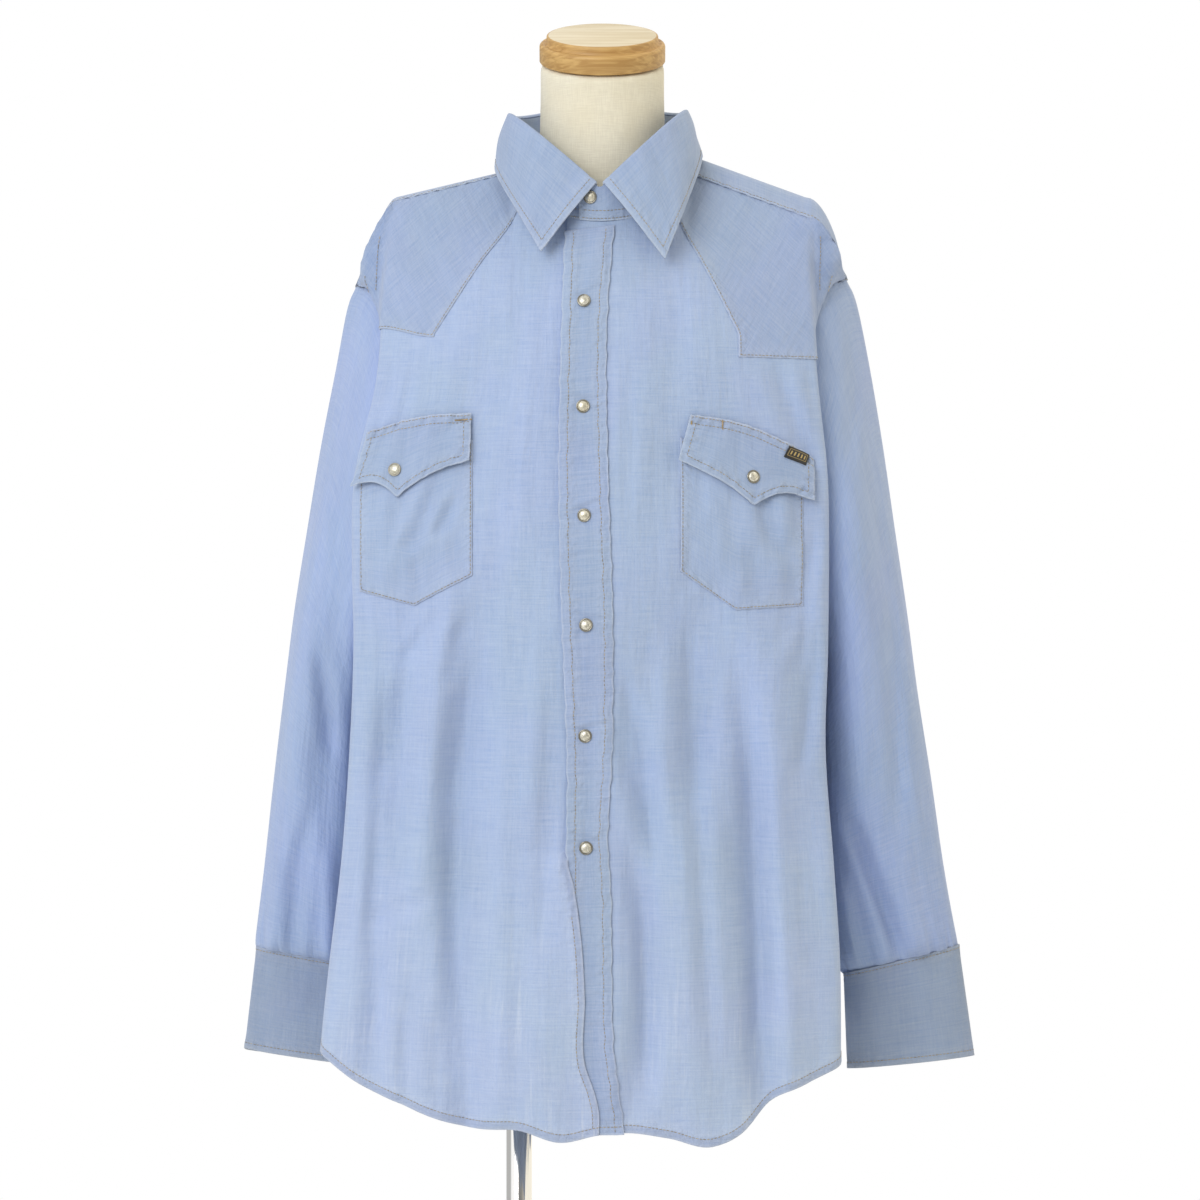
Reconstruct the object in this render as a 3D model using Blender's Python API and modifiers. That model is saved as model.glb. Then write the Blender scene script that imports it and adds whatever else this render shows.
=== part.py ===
"""Western shirt worn by a limbless dress form on a round stand.

Metres, +Z up.  The front faces -Y and +X runs to the wearer's left.  The stand's plate rests on Z = 0
and X = 0 is the shirt's centre front.  Every cloth piece is a thin wall cut from one of four surfaces:
the front sheet, the back sheet, the sleeves and the collar.
"""

import math

import bmesh
import bpy
import numpy as np
from mathutils import Matrix, Vector

# Driving sizes
WALL = 0.0012            # cloth wall, two plies where seams double it
SEAM_GAP = 0.0005        # air between two pieces at a seam
LAID_GAP = 0.0008        # air under a piece laid on another
CUFF_WALL = 0.0016
RIDGE_AT = 0.8           # share of a sheet's width, from centre to armhole, where it turns the corner
RIDGE_ROUNDING = 0.028
CHEST_ROLL, CHEST_CURVE = 0.21, 2.4    # height over which the front falls away from the seam, and how fast
SHOULDER_ROLL = 0.055    # drop over which the back yoke turns down from the shoulder
RIGHT, LEFT = -1, 1      # the wearer's sides, which are also the signs of X

# The neckline, at the foot of the collar stand
NECK_HALF = 0.072
NECK_SIDE_Y = -0.012
NECK_FRONT = (-0.080, 1.333)
NECK_BACK = (0.062, 1.392)
NECK_SIDE_Z = 1.378

# Shares of a sheet's width at which its pieces have their columns of points
SHEET = np.array((0, 0.11, 0.22, 0.336, 0.44, 0.54, 0.63, 0.71, 0.76, 0.80, 0.835, 0.88, 0.94, 1.0))
LAPPED = 0.13            # the fronts' columns where they lap, this far from the centre

# Each shoulder: where the form's shoulder ends (tip), the top of the armhole (drop) and its foot (pit)
SHOULDER = {
    RIGHT: {"tip": (0.171, -0.016, 1.3535), "drop": (0.2050, 0.000, 1.284), "pit": (0.197, 0.005, 1.030),
            "rise": 0.005},
    LEFT: {"tip": (0.172, -0.030, 1.3390), "drop": (0.2075, 0.000, 1.289), "pit": (0.190, 0.005, 1.030),
           "rise": 0.021},
}
ARMHOLE_FRONT, ARMHOLE_BACK, ARMHOLE_INSET = 0.062, 0.080, 0.009
ARMHOLE_GAP = 0.0008     # air between the sleeve's first ring and the body
SEAM_SHARE = 0.9994      # the front and back stop here at the side seams
SEAM_LOWER = 0.0016      # the fronts stop this far below the shoulder seams
DROP_LOWER = 0.0019      # and this much lower again past the shoulder's tip
ARMHOLE_STEPS = 8        # stations from the top of the armhole to its foot, shared with the sleeve

# The body's sections.  Depths are measured from Y = 0, and ridges are the corners where it turns back.
BODY_COLUMNS = ("height", "front", "ridge_depth", "ridge_right", "ridge_left",
                "back", "back_ridge_depth", "back_ridge")
BODY = np.array((
    (0.560, 0.138, 0.100, 0.2320, 0.1985, 0.085, 0.055, 0.190),
    (0.650, 0.137, 0.100, 0.2310, 0.1990, 0.090, 0.062, 0.190),
    (0.720, 0.135, 0.098, 0.2240, 0.1985, 0.095, 0.068, 0.187),
    (0.800, 0.132, 0.096, 0.2145, 0.1920, 0.100, 0.074, 0.183),
    (0.900, 0.130, 0.094, 0.2070, 0.1840, 0.105, 0.080, 0.179),
    (0.980, 0.130, 0.092, 0.2040, 0.1870, 0.110, 0.085, 0.178),
    (1.050, 0.131, 0.092, 0.2048, 0.1890, 0.114, 0.088, 0.179),
    (1.120, 0.131, 0.090, 0.2050, 0.1875, 0.118, 0.090, 0.180),
    (1.200, 0.126, 0.086, 0.1920, 0.1800, 0.120, 0.088, 0.180),
    (1.280, 0.119, 0.080, 0.1830, 0.1745, 0.116, 0.080, 0.176),
    (1.355, 0.112, 0.074, 0.1710, 0.1720, 0.106, 0.062, 0.171),
))
SIDE_SEAM_COLUMNS = ("height", "right", "left")
SIDE_SEAM = np.array((
    (0.560, 0.182, 0.176),
    (0.700, 0.178, 0.173),
    (0.850, 0.175, 0.170),
    (0.960, 0.177, 0.172),
    (1.010, 0.188, 0.182),
    (1.030, 0.197, 0.190),
))
# Hem heights against the share of the ridge's width, then up behind the ridge to the side seam
HEM_COLUMNS = ("share", "right", "left", "back")
HEM = np.array((
    (-0.20, 0.5890, 0.5890, 0.576),
    (0.00, 0.5885, 0.5890, 0.576),
    (0.14, 0.5825, 0.5895, 0.576),
    (0.28, 0.5915, 0.5850, 0.578),
    (0.46, 0.5925, 0.5775, 0.584),
    (0.58, 0.6000, 0.5880, 0.592),
    (0.70, 0.6110, 0.6130, 0.604),
    (0.84, 0.6250, 0.6260, 0.622),
    (1.00, 0.6500, 0.6400, 0.648),
    (1.25, 0.6720, 0.6680, 0.672),
))
# Large folds: a crease from one place to another, its half width and how far it goes in (or out)
FOLD_COLUMNS = ("x_top", "z_top", "x_foot", "z_foot", "half_width", "depth")
FRONT_FOLDS = np.array((
    (-0.108, 0.980, -0.101, 0.560, 0.015, 0.0080),
    (-0.150, 0.990, -0.186, 0.560, 0.019, 0.0070),
    (-0.128, 0.930, -0.140, 0.560, 0.018, -0.0035),
    (0.022, 0.960, 0.032, 0.560, 0.017, 0.0060),
    (0.062, 0.900, 0.070, 0.560, 0.020, -0.0040),
    (0.106, 1.000, 0.135, 0.560, 0.018, 0.0080),
    (0.150, 0.900, 0.168, 0.560, 0.018, -0.0030),
))
BACK_FOLDS = np.array((
    (-0.120, 1.120, -0.140, 0.560, 0.020, 0.0080),
    (-0.060, 1.000, -0.070, 0.560, 0.022, -0.0050),
    (0.010, 1.060, 0.004, 0.560, 0.020, 0.0060),
    (0.070, 0.980, 0.082, 0.560, 0.022, -0.0050),
    (0.118, 1.120, 0.140, 0.560, 0.019, 0.0080),
))
FOLD_ONSET = 0.22

# The snap band on the left front: its two edges
BAND_COLUMNS = ("height", "free_edge", "sewn_edge")
BAND = np.array((
    (0.585, -0.0205, 0.0200),
    (0.656, -0.0290, 0.0113),
    (0.737, -0.0300, 0.0097),
    (0.792, -0.0270, 0.0085),
    (0.818, -0.0275, 0.0065),
    (0.875, -0.0269, 0.0089),
    (1.020, -0.0315, 0.0101),
    (1.117, -0.0335, 0.0070),
    (1.262, -0.0307, 0.0065),
    (1.330, -0.0283, 0.0121),
))
# The right front's free edge: behind the band down to the last snap, then flipped out over it
UNDERLAP_COLUMNS = ("height", "edge")
UNDERLAP = np.array((
    (0.585, -0.0008),
    (0.608, -0.0010),
    (0.624, -0.0048),
    (0.642, -0.0113),
    (0.700, -0.0125),
    (0.748, -0.0154),
    (0.778, -0.0198),
    (0.790, -0.0245),
    (0.799, -0.0290),
    (0.818, -0.0298),
    (0.832, -0.0020),
    (0.870, 0.0050),
    (1.100, 0.0060),
    (1.340, 0.0040),
))
FLIP_HEIGHT = 0.809      # the underlap passes the band's free edge here
FLIP_RAMP = 0.009
FLIP_OUT = 0.0056
LAP_OUT = 0.0019         # how far the left front stands over the right one
BAND_TOP = 1.326

SNAP_HEIGHTS = (1.2630, 1.1765, 1.0885, 0.9998, 0.9100, 0.8196)
SNAP_X = (-0.0130, -0.0137, -0.0130, -0.0113, -0.0121, -0.0113)
SNAP_RADIUS = 0.0056
SNAP_RISE = 0.0026

# Pointed front yokes: inner edge (x against height) and lower edge
YOKE_COLUMNS = ("height", "right", "left")
YOKE_EDGE = np.array((
    (1.237, 0.1355, 0.1130),
    (1.262, 0.1200, 0.1010),
    (1.299, 0.0966, 0.0825),
    (1.330, 0.0740, 0.0660),
    (1.365, 0.0600, 0.0560),
))
YOKE_POINT = {RIGHT: 1.2350, LEFT: 1.2180}
YOKE_LOWER = {RIGHT: 1.2430, LEFT: 1.2175}
YOKE_EASE = 0.0036       # and this far below the shoulder seams
YOKE_REACH = 0.952       # the yokes stop just short of the armhole seams
YOKE_CORNER = 0.0012     # more air under the yokes where they turn the ridge
BACK_YOKE_POINT = 0.050
TURN_ROWS, FLAT_ROWS = 6, 3      # the back yoke's rows over the shoulder, and below

# Patch pockets and flaps, in X and Z on each front
POCKET = {
    RIGHT: {"inner": -0.1032, "outer": -0.1985, "top": 1.1560, "inner_foot": 1.0400,
            "outer_foot": 1.0270, "point": (-0.1510, 1.0150)},
    LEFT: {"inner": 0.0650, "outer": 0.1660, "top": 1.1480, "inner_foot": 1.0430,
           "outer_foot": 1.0150, "point": (0.1105, 1.0115)},
}
FLAP = {
    RIGHT: {"inner_top": (-0.1040, 1.1715), "outer_top": (-0.1890, 1.1570),
            "inner_foot": (-0.1050, 1.1330), "outer_foot": (-0.1995, 1.1120), "point": (-0.1635, 1.1045)},
    LEFT: {"inner_top": (0.0735, 1.1700), "outer_top": (0.1745, 1.1350),
           "inner_foot": (0.0625, 1.1330), "outer_foot": (0.1735, 1.1010), "point": (0.1225, 1.0970)},
}
FLAP_SCALLOP = 0.007
FLAP_FLARE = 0.004
POCKET_SNAP = {RIGHT: (-0.1655, 1.1260), LEFT: (0.1230, 1.1200)}
TAB_CENTRE, TAB_SIZE, TAB_TURN, TAB_WALL = (0.1590, 1.1370), (0.0180, 0.0080), -0.42, 0.0008

# The collar: the fold runs round the neck, the fall's lower edge is listed by angle from the front
STAND_IN, STAND_DROP, STAND_SEAM = 0.968, 0.003, 0.0015    # inside the fold, below it, above the neckline
STAND_LAP = (0.24, 0.10)     # angles by which the stand's ends pass the front
FOLD_FRONT = (-0.089, 1.360)
FOLD_SIDE_HALF = {RIGHT: 0.0762, LEFT: 0.0724}
FOLD_SIDE = {RIGHT: (-0.012, 1.427), LEFT: (-0.012, 1.430)}
FOLD_BACK = (0.074, 1.441)
FALL_COLUMNS = ("angle", "x", "y", "z")
FALL_EDGE = {
    RIGHT: np.array((
        (0, 0.0473, -0.1030, 1.3028),
        (38, 0.0662, -0.0840, 1.3360),
        (90, 0.0893, -0.0180, 1.3800),
        (135, 0.0760, 0.0620, 1.3900),
        (180, 0.0000, 0.0960, 1.3920),
    )),
    LEFT: np.array((
        (0, 0.0522, -0.1020, 1.2963),
        (42, 0.0687, -0.0820, 1.3390),
        (90, 0.0852, -0.0180, 1.3880),
        (135, 0.0760, 0.0620, 1.3940),
        (180, 0.0000, 0.0960, 1.3920),
    )),
}
FALL_BOW = 0.004

# Sleeves: the outer and inner edges of each ring as seen from the front, and its depths.  The first ring
# is the armhole, the last is the cuff seam.
SLEEVE_COLUMNS = ("outer_x", "outer_z", "inner_x", "inner_z", "front", "back", "inset")
SLEEVE = {
    RIGHT: np.array((
        (0.2050, 1.2840, 0.1970, 1.0300, 0.062, 0.080, 0.009),
        (0.2125, 1.2640, 0.2022, 1.0170, 0.072, 0.088, 0.003),
        (0.2218, 1.2150, 0.2040, 1.0000, 0.080, 0.094, 0.000),
        (0.2344, 1.1500, 0.2055, 0.9750, 0.080, 0.094, 0.000),
        (0.2460, 1.0800, 0.2060, 0.9450, 0.074, 0.088, 0.000),
        (0.2570, 1.0100, 0.2060, 0.9100, 0.066, 0.082, 0.000),
        (0.2654, 0.9400, 0.2055, 0.8700, 0.058, 0.074, 0.000),
        (0.2738, 0.8700, 0.2045, 0.8200, 0.050, 0.066, 0.000),
        (0.2814, 0.8000, 0.2030, 0.7650, 0.040, 0.058, 0.000),
        (0.2880, 0.7400, 0.1990, 0.7210, 0.030, 0.048, 0.000),
        (0.2870, 0.7265, 0.1960, 0.7100, 0.014, 0.036, 0.000),
    )),
    LEFT: np.array((
        (0.2075, 1.2890, 0.1900, 1.0300, 0.062, 0.080, 0.009),
        (0.2160, 1.2680, 0.1935, 1.0170, 0.072, 0.088, 0.003),
        (0.2268, 1.2150, 0.1950, 1.0000, 0.080, 0.094, 0.000),
        (0.2377, 1.1500, 0.1955, 0.9750, 0.080, 0.094, 0.000),
        (0.2478, 1.0800, 0.1955, 0.9450, 0.074, 0.088, 0.000),
        (0.2580, 1.0100, 0.1950, 0.9100, 0.066, 0.082, 0.000),
        (0.2670, 0.9400, 0.1940, 0.8700, 0.058, 0.074, 0.000),
        (0.2780, 0.8700, 0.1940, 0.8200, 0.050, 0.066, 0.000),
        (0.2880, 0.8000, 0.1970, 0.7650, 0.040, 0.058, 0.000),
        (0.2980, 0.7400, 0.2020, 0.7180, 0.030, 0.048, 0.000),
        (0.2999, 0.7280, 0.2060, 0.7040, 0.014, 0.036, 0.000),
    )),
}
CUFF = {
    RIGHT: {"outer": (0.2980, 0.6440), "inner": (0.1940, 0.6290)},
    LEFT: {"outer": (0.3140, 0.6380), "inner": (0.2080, 0.6270)},
}
CUFF_STEPS, CUFF_LAP = 24, 3     # columns once round, and in the lap
CUFF_DEPTH = {"front": 0.016, "back": 0.028}
CUFF_EASE, CUFF_SEAM = 0.0008, 0.0007
SLEEVE_AT = np.array((0, 0.5, 1, 2, 3, 4, 5, 6, 7, 8, 9, 9.6, 10))     # the rings built
PLACKET_COLUMN, PLACKET_ROWS = 12, 5     # the sleeve's facet and rings that its placket covers

# The dress form and its stand
POLE_X, POLE_Y, POLE_RADIUS = -0.068, 0.005, 0.011
STAND_GAP = 0.0003       # air where the form's pieces stand on each other
BASE_RADIUS, BASE_THICKNESS, BASE_EDGE = 0.170, 0.012, 0.003
FORM_FLOOR = 0.800
FORM_COLUMNS = ("height", "half_width", "front", "back")
FORM = np.array((
    (0.800, 0.140, 0.100, 0.078),
    (0.860, 0.148, 0.104, 0.080),
    (0.940, 0.142, 0.098, 0.078),
    (1.020, 0.138, 0.098, 0.080),
    (1.100, 0.146, 0.108, 0.088),
    (1.170, 0.154, 0.104, 0.094),
    (1.240, 0.156, 0.090, 0.092),
    (1.290, 0.152, 0.070, 0.078),
    (1.325, 0.120, 0.048, 0.056),
))
FORM_RING = 40
FORM_SQUARE = 0.85       # under 1, the form's sections are squarer than ellipses
SHOULDER_RADIUS, SHOULDER_END = 0.014, 0.160
SHOULDER_SEAT = 0.0006   # the cloth lies this far over the form's shoulders
NECK_COLUMNS = ("height", "half_width", "half_depth", "centre_y")
NECK = np.array((
    (1.300, 0.075, 0.055, -0.004),
    (1.360, 0.059, 0.054, -0.008),
    (1.400, 0.0545, 0.053, -0.012),
    (1.440, 0.0535, 0.052, -0.016),
    (1.470, 0.0535, 0.052, -0.020),
))
NECK_X = 0.002
CAP_TILT = math.radians(20)
CAP_RADIUS, CAP_THICKNESS, CAP_BEVEL = 0.0525, 0.023, 0.006

# Materials: slot, linear base colour, roughness, metallic
CHAMBRAY = ("chambray", (0.430, 0.530, 0.740, 1.0), 0.85, 0.0)
CHAMBRAY_DOUBLE = ("chambray_double", (0.390, 0.490, 0.700, 1.0), 0.85, 0.0)
CHAMBRAY_CUFF = ("chambray_cuff", (0.280, 0.340, 0.510, 1.0), 0.85, 0.0)
PEARL = ("pearl", (0.850, 0.830, 0.740, 1.0), 0.25, 0.1)
TAB_BLACK = ("tab", (0.020, 0.020, 0.018, 1.0), 0.7, 0.0)
LINEN = ("linen", (0.750, 0.710, 0.600, 1.0), 0.9, 0.0)
WOOD = ("wood", (0.560, 0.290, 0.080, 1.0), 0.45, 0.0)
CHROME = ("chrome", (0.800, 0.790, 0.770, 1.0), 0.15, 1.0)


# Tables and curves

def column(table, columns, name):
    """One named column of a table."""
    return table[:, columns.index(name)]


def smooth(at, stations, values):
    """A smooth curve through a table's values, level past its ends."""
    at = np.asarray(at, float)
    slopes = np.gradient(values, stations)
    i = np.clip(np.searchsorted(stations, at) - 1, 0, len(stations) - 2)
    gap = stations[i + 1] - stations[i]
    t = np.clip((at - stations[i]) / gap, 0.0, 1.0)
    return ((2 * t**3 - 3 * t**2 + 1) * values[i] + (t**3 - 2 * t**2 + t) * gap * slopes[i]
            + (3 * t**2 - 2 * t**3) * values[i + 1] + (t**3 - t**2) * gap * slopes[i + 1])


def body(name, height):
    return smooth(height, BODY[:, 0], column(BODY, BODY_COLUMNS, name))


def ease(value, low, high):
    """0 below low, 1 above high, and smooth between them."""
    t = np.clip((value - low) / (high - low), 0.0, 1.0)
    return t * t * (3 - 2 * t)


def blend(a, b, t):
    return a + (b - a) * t


def side_name(side):
    return "right" if side == RIGHT else "left"


# The front and back sheets.  A place on a sheet is its side, a share of its width q (0 at the centre,
# RIDGE_AT at the ridge and 1 at the armhole or side seam) and a height.

def turned(q):
    """The share's part on the front face, and how far past the ridge it is, from 0 to 1."""
    past = (1 - RIDGE_AT)
    ramp = 0.5 * ((q - RIDGE_AT) + np.sqrt((q - RIDGE_AT) ** 2 + RIDGE_ROUNDING**2))
    full = 0.5 * (past + math.sqrt(past**2 + RIDGE_ROUNDING**2))
    beyond = ramp * past / full
    return (q - beyond) / RIDGE_AT, beyond / past


def top_line(side, share):
    """Y and height of the neckline and shoulder seam, at a share of the ridge's width."""
    tip_x, tip_y, tip_z = SHOULDER[side]["tip"]
    share = np.abs(share)
    neck = NECK_HALF / tip_x
    arc = np.sqrt(np.clip(1 - (share / neck) ** 2, 0, 1))
    along = np.clip((share - neck) / (1 - neck), 0, 1)
    y = np.where(share < neck, blend(NECK_SIDE_Y, NECK_FRONT[0], arc), blend(NECK_SIDE_Y, tip_y, along))
    z = np.where(share < neck, blend(NECK_SIDE_Z, NECK_FRONT[1], arc), blend(NECK_SIDE_Z, tip_z, along))
    return y, z


def folds(table, x, z):
    """How far a table's folds push a place in, towards the middle of the body."""
    push = np.zeros(np.broadcast(x, z).shape)
    for row in table:
        fold = dict(zip(FOLD_COLUMNS, row))
        down = (fold["z_top"] - z) / (fold["z_top"] - fold["z_foot"])
        line = blend(fold["x_top"], fold["x_foot"], down)
        ramp = ease(fold["z_top"] - z, 0, FOLD_ONSET)
        push = push + fold["depth"] * ramp * np.exp(-((x - line) / fold["half_width"]) ** 2)
    return push


def edge(side, height, depth):
    """The armhole's edge, and below it the side seam.  depth is signed: minus for the front branch."""
    tip, drop, pit = (SHOULDER[side][name] for name in ("tip", "drop", "pit"))
    above = np.clip((height - drop[2]) / (tip[2] - drop[2]), 0, 1)
    w = np.clip((drop[2] - height) / (drop[2] - pit[2]), 0, 1)
    round_off = 2 * np.sqrt(w * (1 - w))
    seam = smooth(height, SIDE_SEAM[:, 0], column(SIDE_SEAM, SIDE_SEAM_COLUMNS, side_name(side)))
    x = np.where(height > drop[2], blend(drop[0], tip[0], above),
                 blend(drop[0], pit[0], w) - ARMHOLE_INSET * round_off**2)
    y = np.where(height > drop[2], blend(drop[1], tip[1], above),
                 blend(drop[1], pit[1], w) + depth * round_off)
    return side * np.where(height < pit[2], seam, x), np.where(height < pit[2], pit[1], y)


def lap(side, x, z):
    """How far a front stands out beside the closure."""
    if side == LEFT:
        return LAP_OUT * (1 - ease(x, 0.028, 0.065))
    out = ease(-z, -FLIP_HEIGHT - FLIP_RAMP, -FLIP_HEIGHT + FLIP_RAMP)
    return FLIP_OUT * out * ease(x, -0.080, -0.036)


def front_face(side, share, z):
    """The front sheet between the two ridges."""
    top_y, top_z = top_line(side, share)
    fall = 1 - (1 - np.clip((top_z - z) / CHEST_ROLL, 0, 1)) ** CHEST_CURVE
    ridge = body("ridge_depth", z)
    depth = blend(ridge, body("front", z), np.cos(0.5 * math.pi * np.clip(np.abs(share), 0, 1)))
    x = side * share * body("ridge_" + side_name(side), z)
    y = blend(top_y, -depth, fall)
    return x, y + folds(FRONT_FOLDS, x, z) - lap(side, x, z)


def front(side, q, z):
    """A place on the front sheet."""
    q, z = np.broadcast_arrays(np.asarray(q, float), np.asarray(z, float))
    share, past = turned(q)
    x, y = front_face(side, share, z)
    ridge_x, ridge_y = front_face(side, np.ones_like(z), z)
    edge_x, edge_y = edge(side, z, -ARMHOLE_FRONT)
    return np.stack((x + (edge_x - ridge_x) * past, y + (edge_y - ridge_y) * past, z), -1)


def front_top(side, q):
    """Height of the front's top edge: neckline, shoulder seam and dropped shoulder."""
    tip_z, drop_z = SHOULDER[side]["tip"][2], SHOULDER[side]["drop"][2]
    q = np.asarray(q, float)
    past = np.clip((q - RIDGE_AT) / (1 - RIDGE_AT), 0, 1)
    z = top_line(side, np.minimum(q / RIDGE_AT, 1))[1]
    return np.where(q > RIDGE_AT, blend(tip_z, drop_z, past), z)


def back_face(side, share, z):
    ridge = body("back_ridge_depth", z)
    depth = blend(ridge, body("back", z), np.cos(0.5 * math.pi * np.clip(np.abs(share), 0, 1)))
    x = side * share * body("back_ridge", z)
    return x, depth - folds(BACK_FOLDS, x, z)


def back_flat(side, q, z):
    """The back sheet where it hangs below the shoulders."""
    share, past = turned(q)
    x, y = back_face(side, share, z)
    ridge_x, ridge_y = back_face(side, np.ones_like(z), z)
    edge_x, edge_y = edge(side, z, ARMHOLE_BACK)
    return np.stack((x + (edge_x - ridge_x) * past, y + (edge_y - ridge_y) * past, z), -1)


def back_top(side, q):
    """The back's top edge: the back neckline, then the same seam as the front's."""
    q = np.asarray(q, float)
    seam = front(side, q, front_top(side, q))
    neck = NECK_HALF / SHOULDER[side]["tip"][0] * RIDGE_AT
    arc = np.sqrt(np.clip(1 - (q / neck) ** 2, 0, 1))
    neckline = np.stack((seam[..., 0], blend(NECK_SIDE_Y, NECK_BACK[0], arc),
                         blend(NECK_SIDE_Z, NECK_BACK[1], arc)), -1)
    return np.where((q < neck)[..., None], neckline, seam)


def back_turn(side, q):
    """Height where the back starts to turn over the shoulder, and the length of that turn."""
    q = np.asarray(q, float)
    past = np.clip((q - RIDGE_AT) / (1 - RIDGE_AT), 0, 1)
    start = back_top(side, q)[..., 2] - SHOULDER_ROLL * (1 - past)
    return start, 2 * SHOULDER_ROLL * (1 - past) + 1e-6


def back(side, q, reach):
    """A place on the back sheet.  reach is the height, and runs on as a length over the shoulder."""
    q, reach = np.broadcast_arrays(np.asarray(q, float), np.asarray(reach, float))
    start, length = back_turn(side, q)
    foot = back_flat(side, q, np.minimum(reach, start))
    t = np.clip((reach - start) / length, 0, 1)[..., None]
    top = back_top(side, q)
    past = np.clip((q - RIDGE_AT) / (1 - RIDGE_AT), 0, 1)
    over_seam = np.clip((q / RIDGE_AT - 0.3) / 0.2, 0, 1) * (1 - past)
    rise = SHOULDER[side]["rise"] * over_seam
    above_foot = foot.copy()
    above_foot[..., 2] += 0.55 * (top[..., 2] + rise - foot[..., 2])
    before_top = blend(top, foot, 0.35)
    before_top[..., 2] = top[..., 2] + 1.4 * rise
    return ((1 - t) ** 3 * foot + 3 * (1 - t) ** 2 * t * above_foot
            + 3 * (1 - t) * t**2 * before_top + t**3 * top)


def share_of(side, x, z):
    """The share of width at which the front sheet's face has a given X."""
    q = np.asarray(x, float) * side / body("ridge_" + side_name(side), z) * RIDGE_AT
    for _ in range(4):
        q = q - (front(side, q, z)[..., 0] - x) * side / body("ridge_" + side_name(side), z) * RIDGE_AT
    return q


def lifted(surface, side, q, z, out):
    """Places on a sheet moved out along its normal."""
    step = 0.0008
    across = surface(side, q + step, z) - surface(side, q - step, z)
    down = surface(side, q, z - step) - surface(side, q, z + step)
    normal = np.cross(across, down) * side
    normal /= np.linalg.norm(normal, axis=-1, keepdims=True)
    if surface is front:
        normal = -normal
    place = surface(side, q, z)
    return place + normal * np.asarray(out)[..., None]


def patch(left, right, top, foot):
    """A grid of values or places between four edges: rows run down, columns run across."""
    down = np.linspace(0, 1, len(left))
    across = np.linspace(0, 1, len(top))
    shape = (1,) * (np.ndim(left) - 1)
    v, u = down.reshape(-1, 1, *shape), across.reshape(1, -1, *shape)
    left, right, top, foot = left[:, None], right[:, None], top[None], foot[None]
    corners = ((1 - u) * (1 - v) * top[:, :1] + u * (1 - v) * top[:, -1:]
               + (1 - u) * v * foot[:, :1] + u * v * foot[:, -1:])
    return (1 - v) * top + v * foot + (1 - u) * left + u * right - corners


def pairs(first, second):
    return np.stack(np.broadcast_arrays(np.asarray(first, float), np.asarray(second, float)), -1)


# Making objects

def material(finish):
    name, colour, roughness, metallic = finish
    made = bpy.data.materials.get(name) or bpy.data.materials.new(name)
    made.use_nodes = True
    shader = made.node_tree.nodes["Principled BSDF"]
    shader.inputs["Base Color"].default_value = colour
    shader.inputs["Roughness"].default_value = roughness
    shader.inputs["Metallic"].default_value = metallic
    made.diffuse_color = colour
    return made


def add_object(name, mesh, collection, finish):
    mesh.materials.append(material(finish))
    made = bpy.data.objects.new(name, mesh)
    collection.objects.link(made)
    return made


def mesh_from(name, builder):
    mesh = bpy.data.meshes.new(name)
    builder.to_mesh(mesh)
    builder.free()
    return mesh


def cloth(name, grid, outward, collection, finish, wall=WALL, closed=False, round_axis=False):
    """A cloth piece: a grid of outer points given its wall on the inner side.

    outward is a direction that the piece's faces should mostly look along or, for a closed tube and for
    one that goes round an axis, the point inside that they should look away from.
    """
    rows, columns = grid.shape[:2]
    builder = bmesh.new()
    points = [[builder.verts.new(grid[r, c]) for c in range(columns)] for r in range(rows)]
    spans = columns if closed else columns - 1
    for r in range(rows - 1):
        for c in range(spans):
            d = (c + 1) % columns
            builder.faces.new((points[r][c], points[r][d], points[r + 1][d], points[r + 1][c]))
    builder.normal_update()
    agree = 0.0
    for face in builder.faces:
        look = Vector(outward)
        if closed or round_axis:
            look = face.calc_center_median() - look
            look.z = 0
        agree += face.normal.dot(look) * face.calc_area()
    if agree < 0:
        bmesh.ops.reverse_faces(builder, faces=builder.faces)
    made = add_object(name, mesh_from(name, builder), collection, finish)
    thicken = made.modifiers.new("wall", "SOLIDIFY")
    thicken.thickness = wall
    thicken.offset = -1
    return made


def loft(name, rings, collection, finish):
    """A closed solid through rings of points, flat at both ends."""
    builder = bmesh.new()
    loops = [[builder.verts.new(point) for point in ring] for ring in rings]
    count = len(rings[0])
    for lower, upper in zip(loops, loops[1:]):
        for i in range(count):
            j = (i + 1) % count
            builder.faces.new((lower[i], lower[j], upper[j], upper[i]))
    builder.faces.new(list(reversed(loops[0])))
    builder.faces.new(loops[-1])
    bmesh.ops.recalc_face_normals(builder, faces=builder.faces)
    made = add_object(name, mesh_from(name, builder), collection, finish)
    made.data.shade_smooth()
    return made


def turned_piece(name, profile, steps, place, collection, finish):
    """A profile of (radius, height) spun round its own Z axis, then placed by a matrix."""
    builder = bmesh.new()
    points = [builder.verts.new((radius, 0, height)) for radius, height in profile]
    for upper, lower in zip(points, points[1:]):
        builder.edges.new((upper, lower))
    made = add_object(name, mesh_from(name, builder), collection, finish)
    screw = made.modifiers.new("turn", "SCREW")
    screw.steps = steps
    screw.render_steps = steps
    screw.use_merge_vertices = True
    screw.merge_threshold = 0.00001
    screw.use_smooth_shade = True
    made.matrix_world = place
    return made


# Cloth pieces

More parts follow.
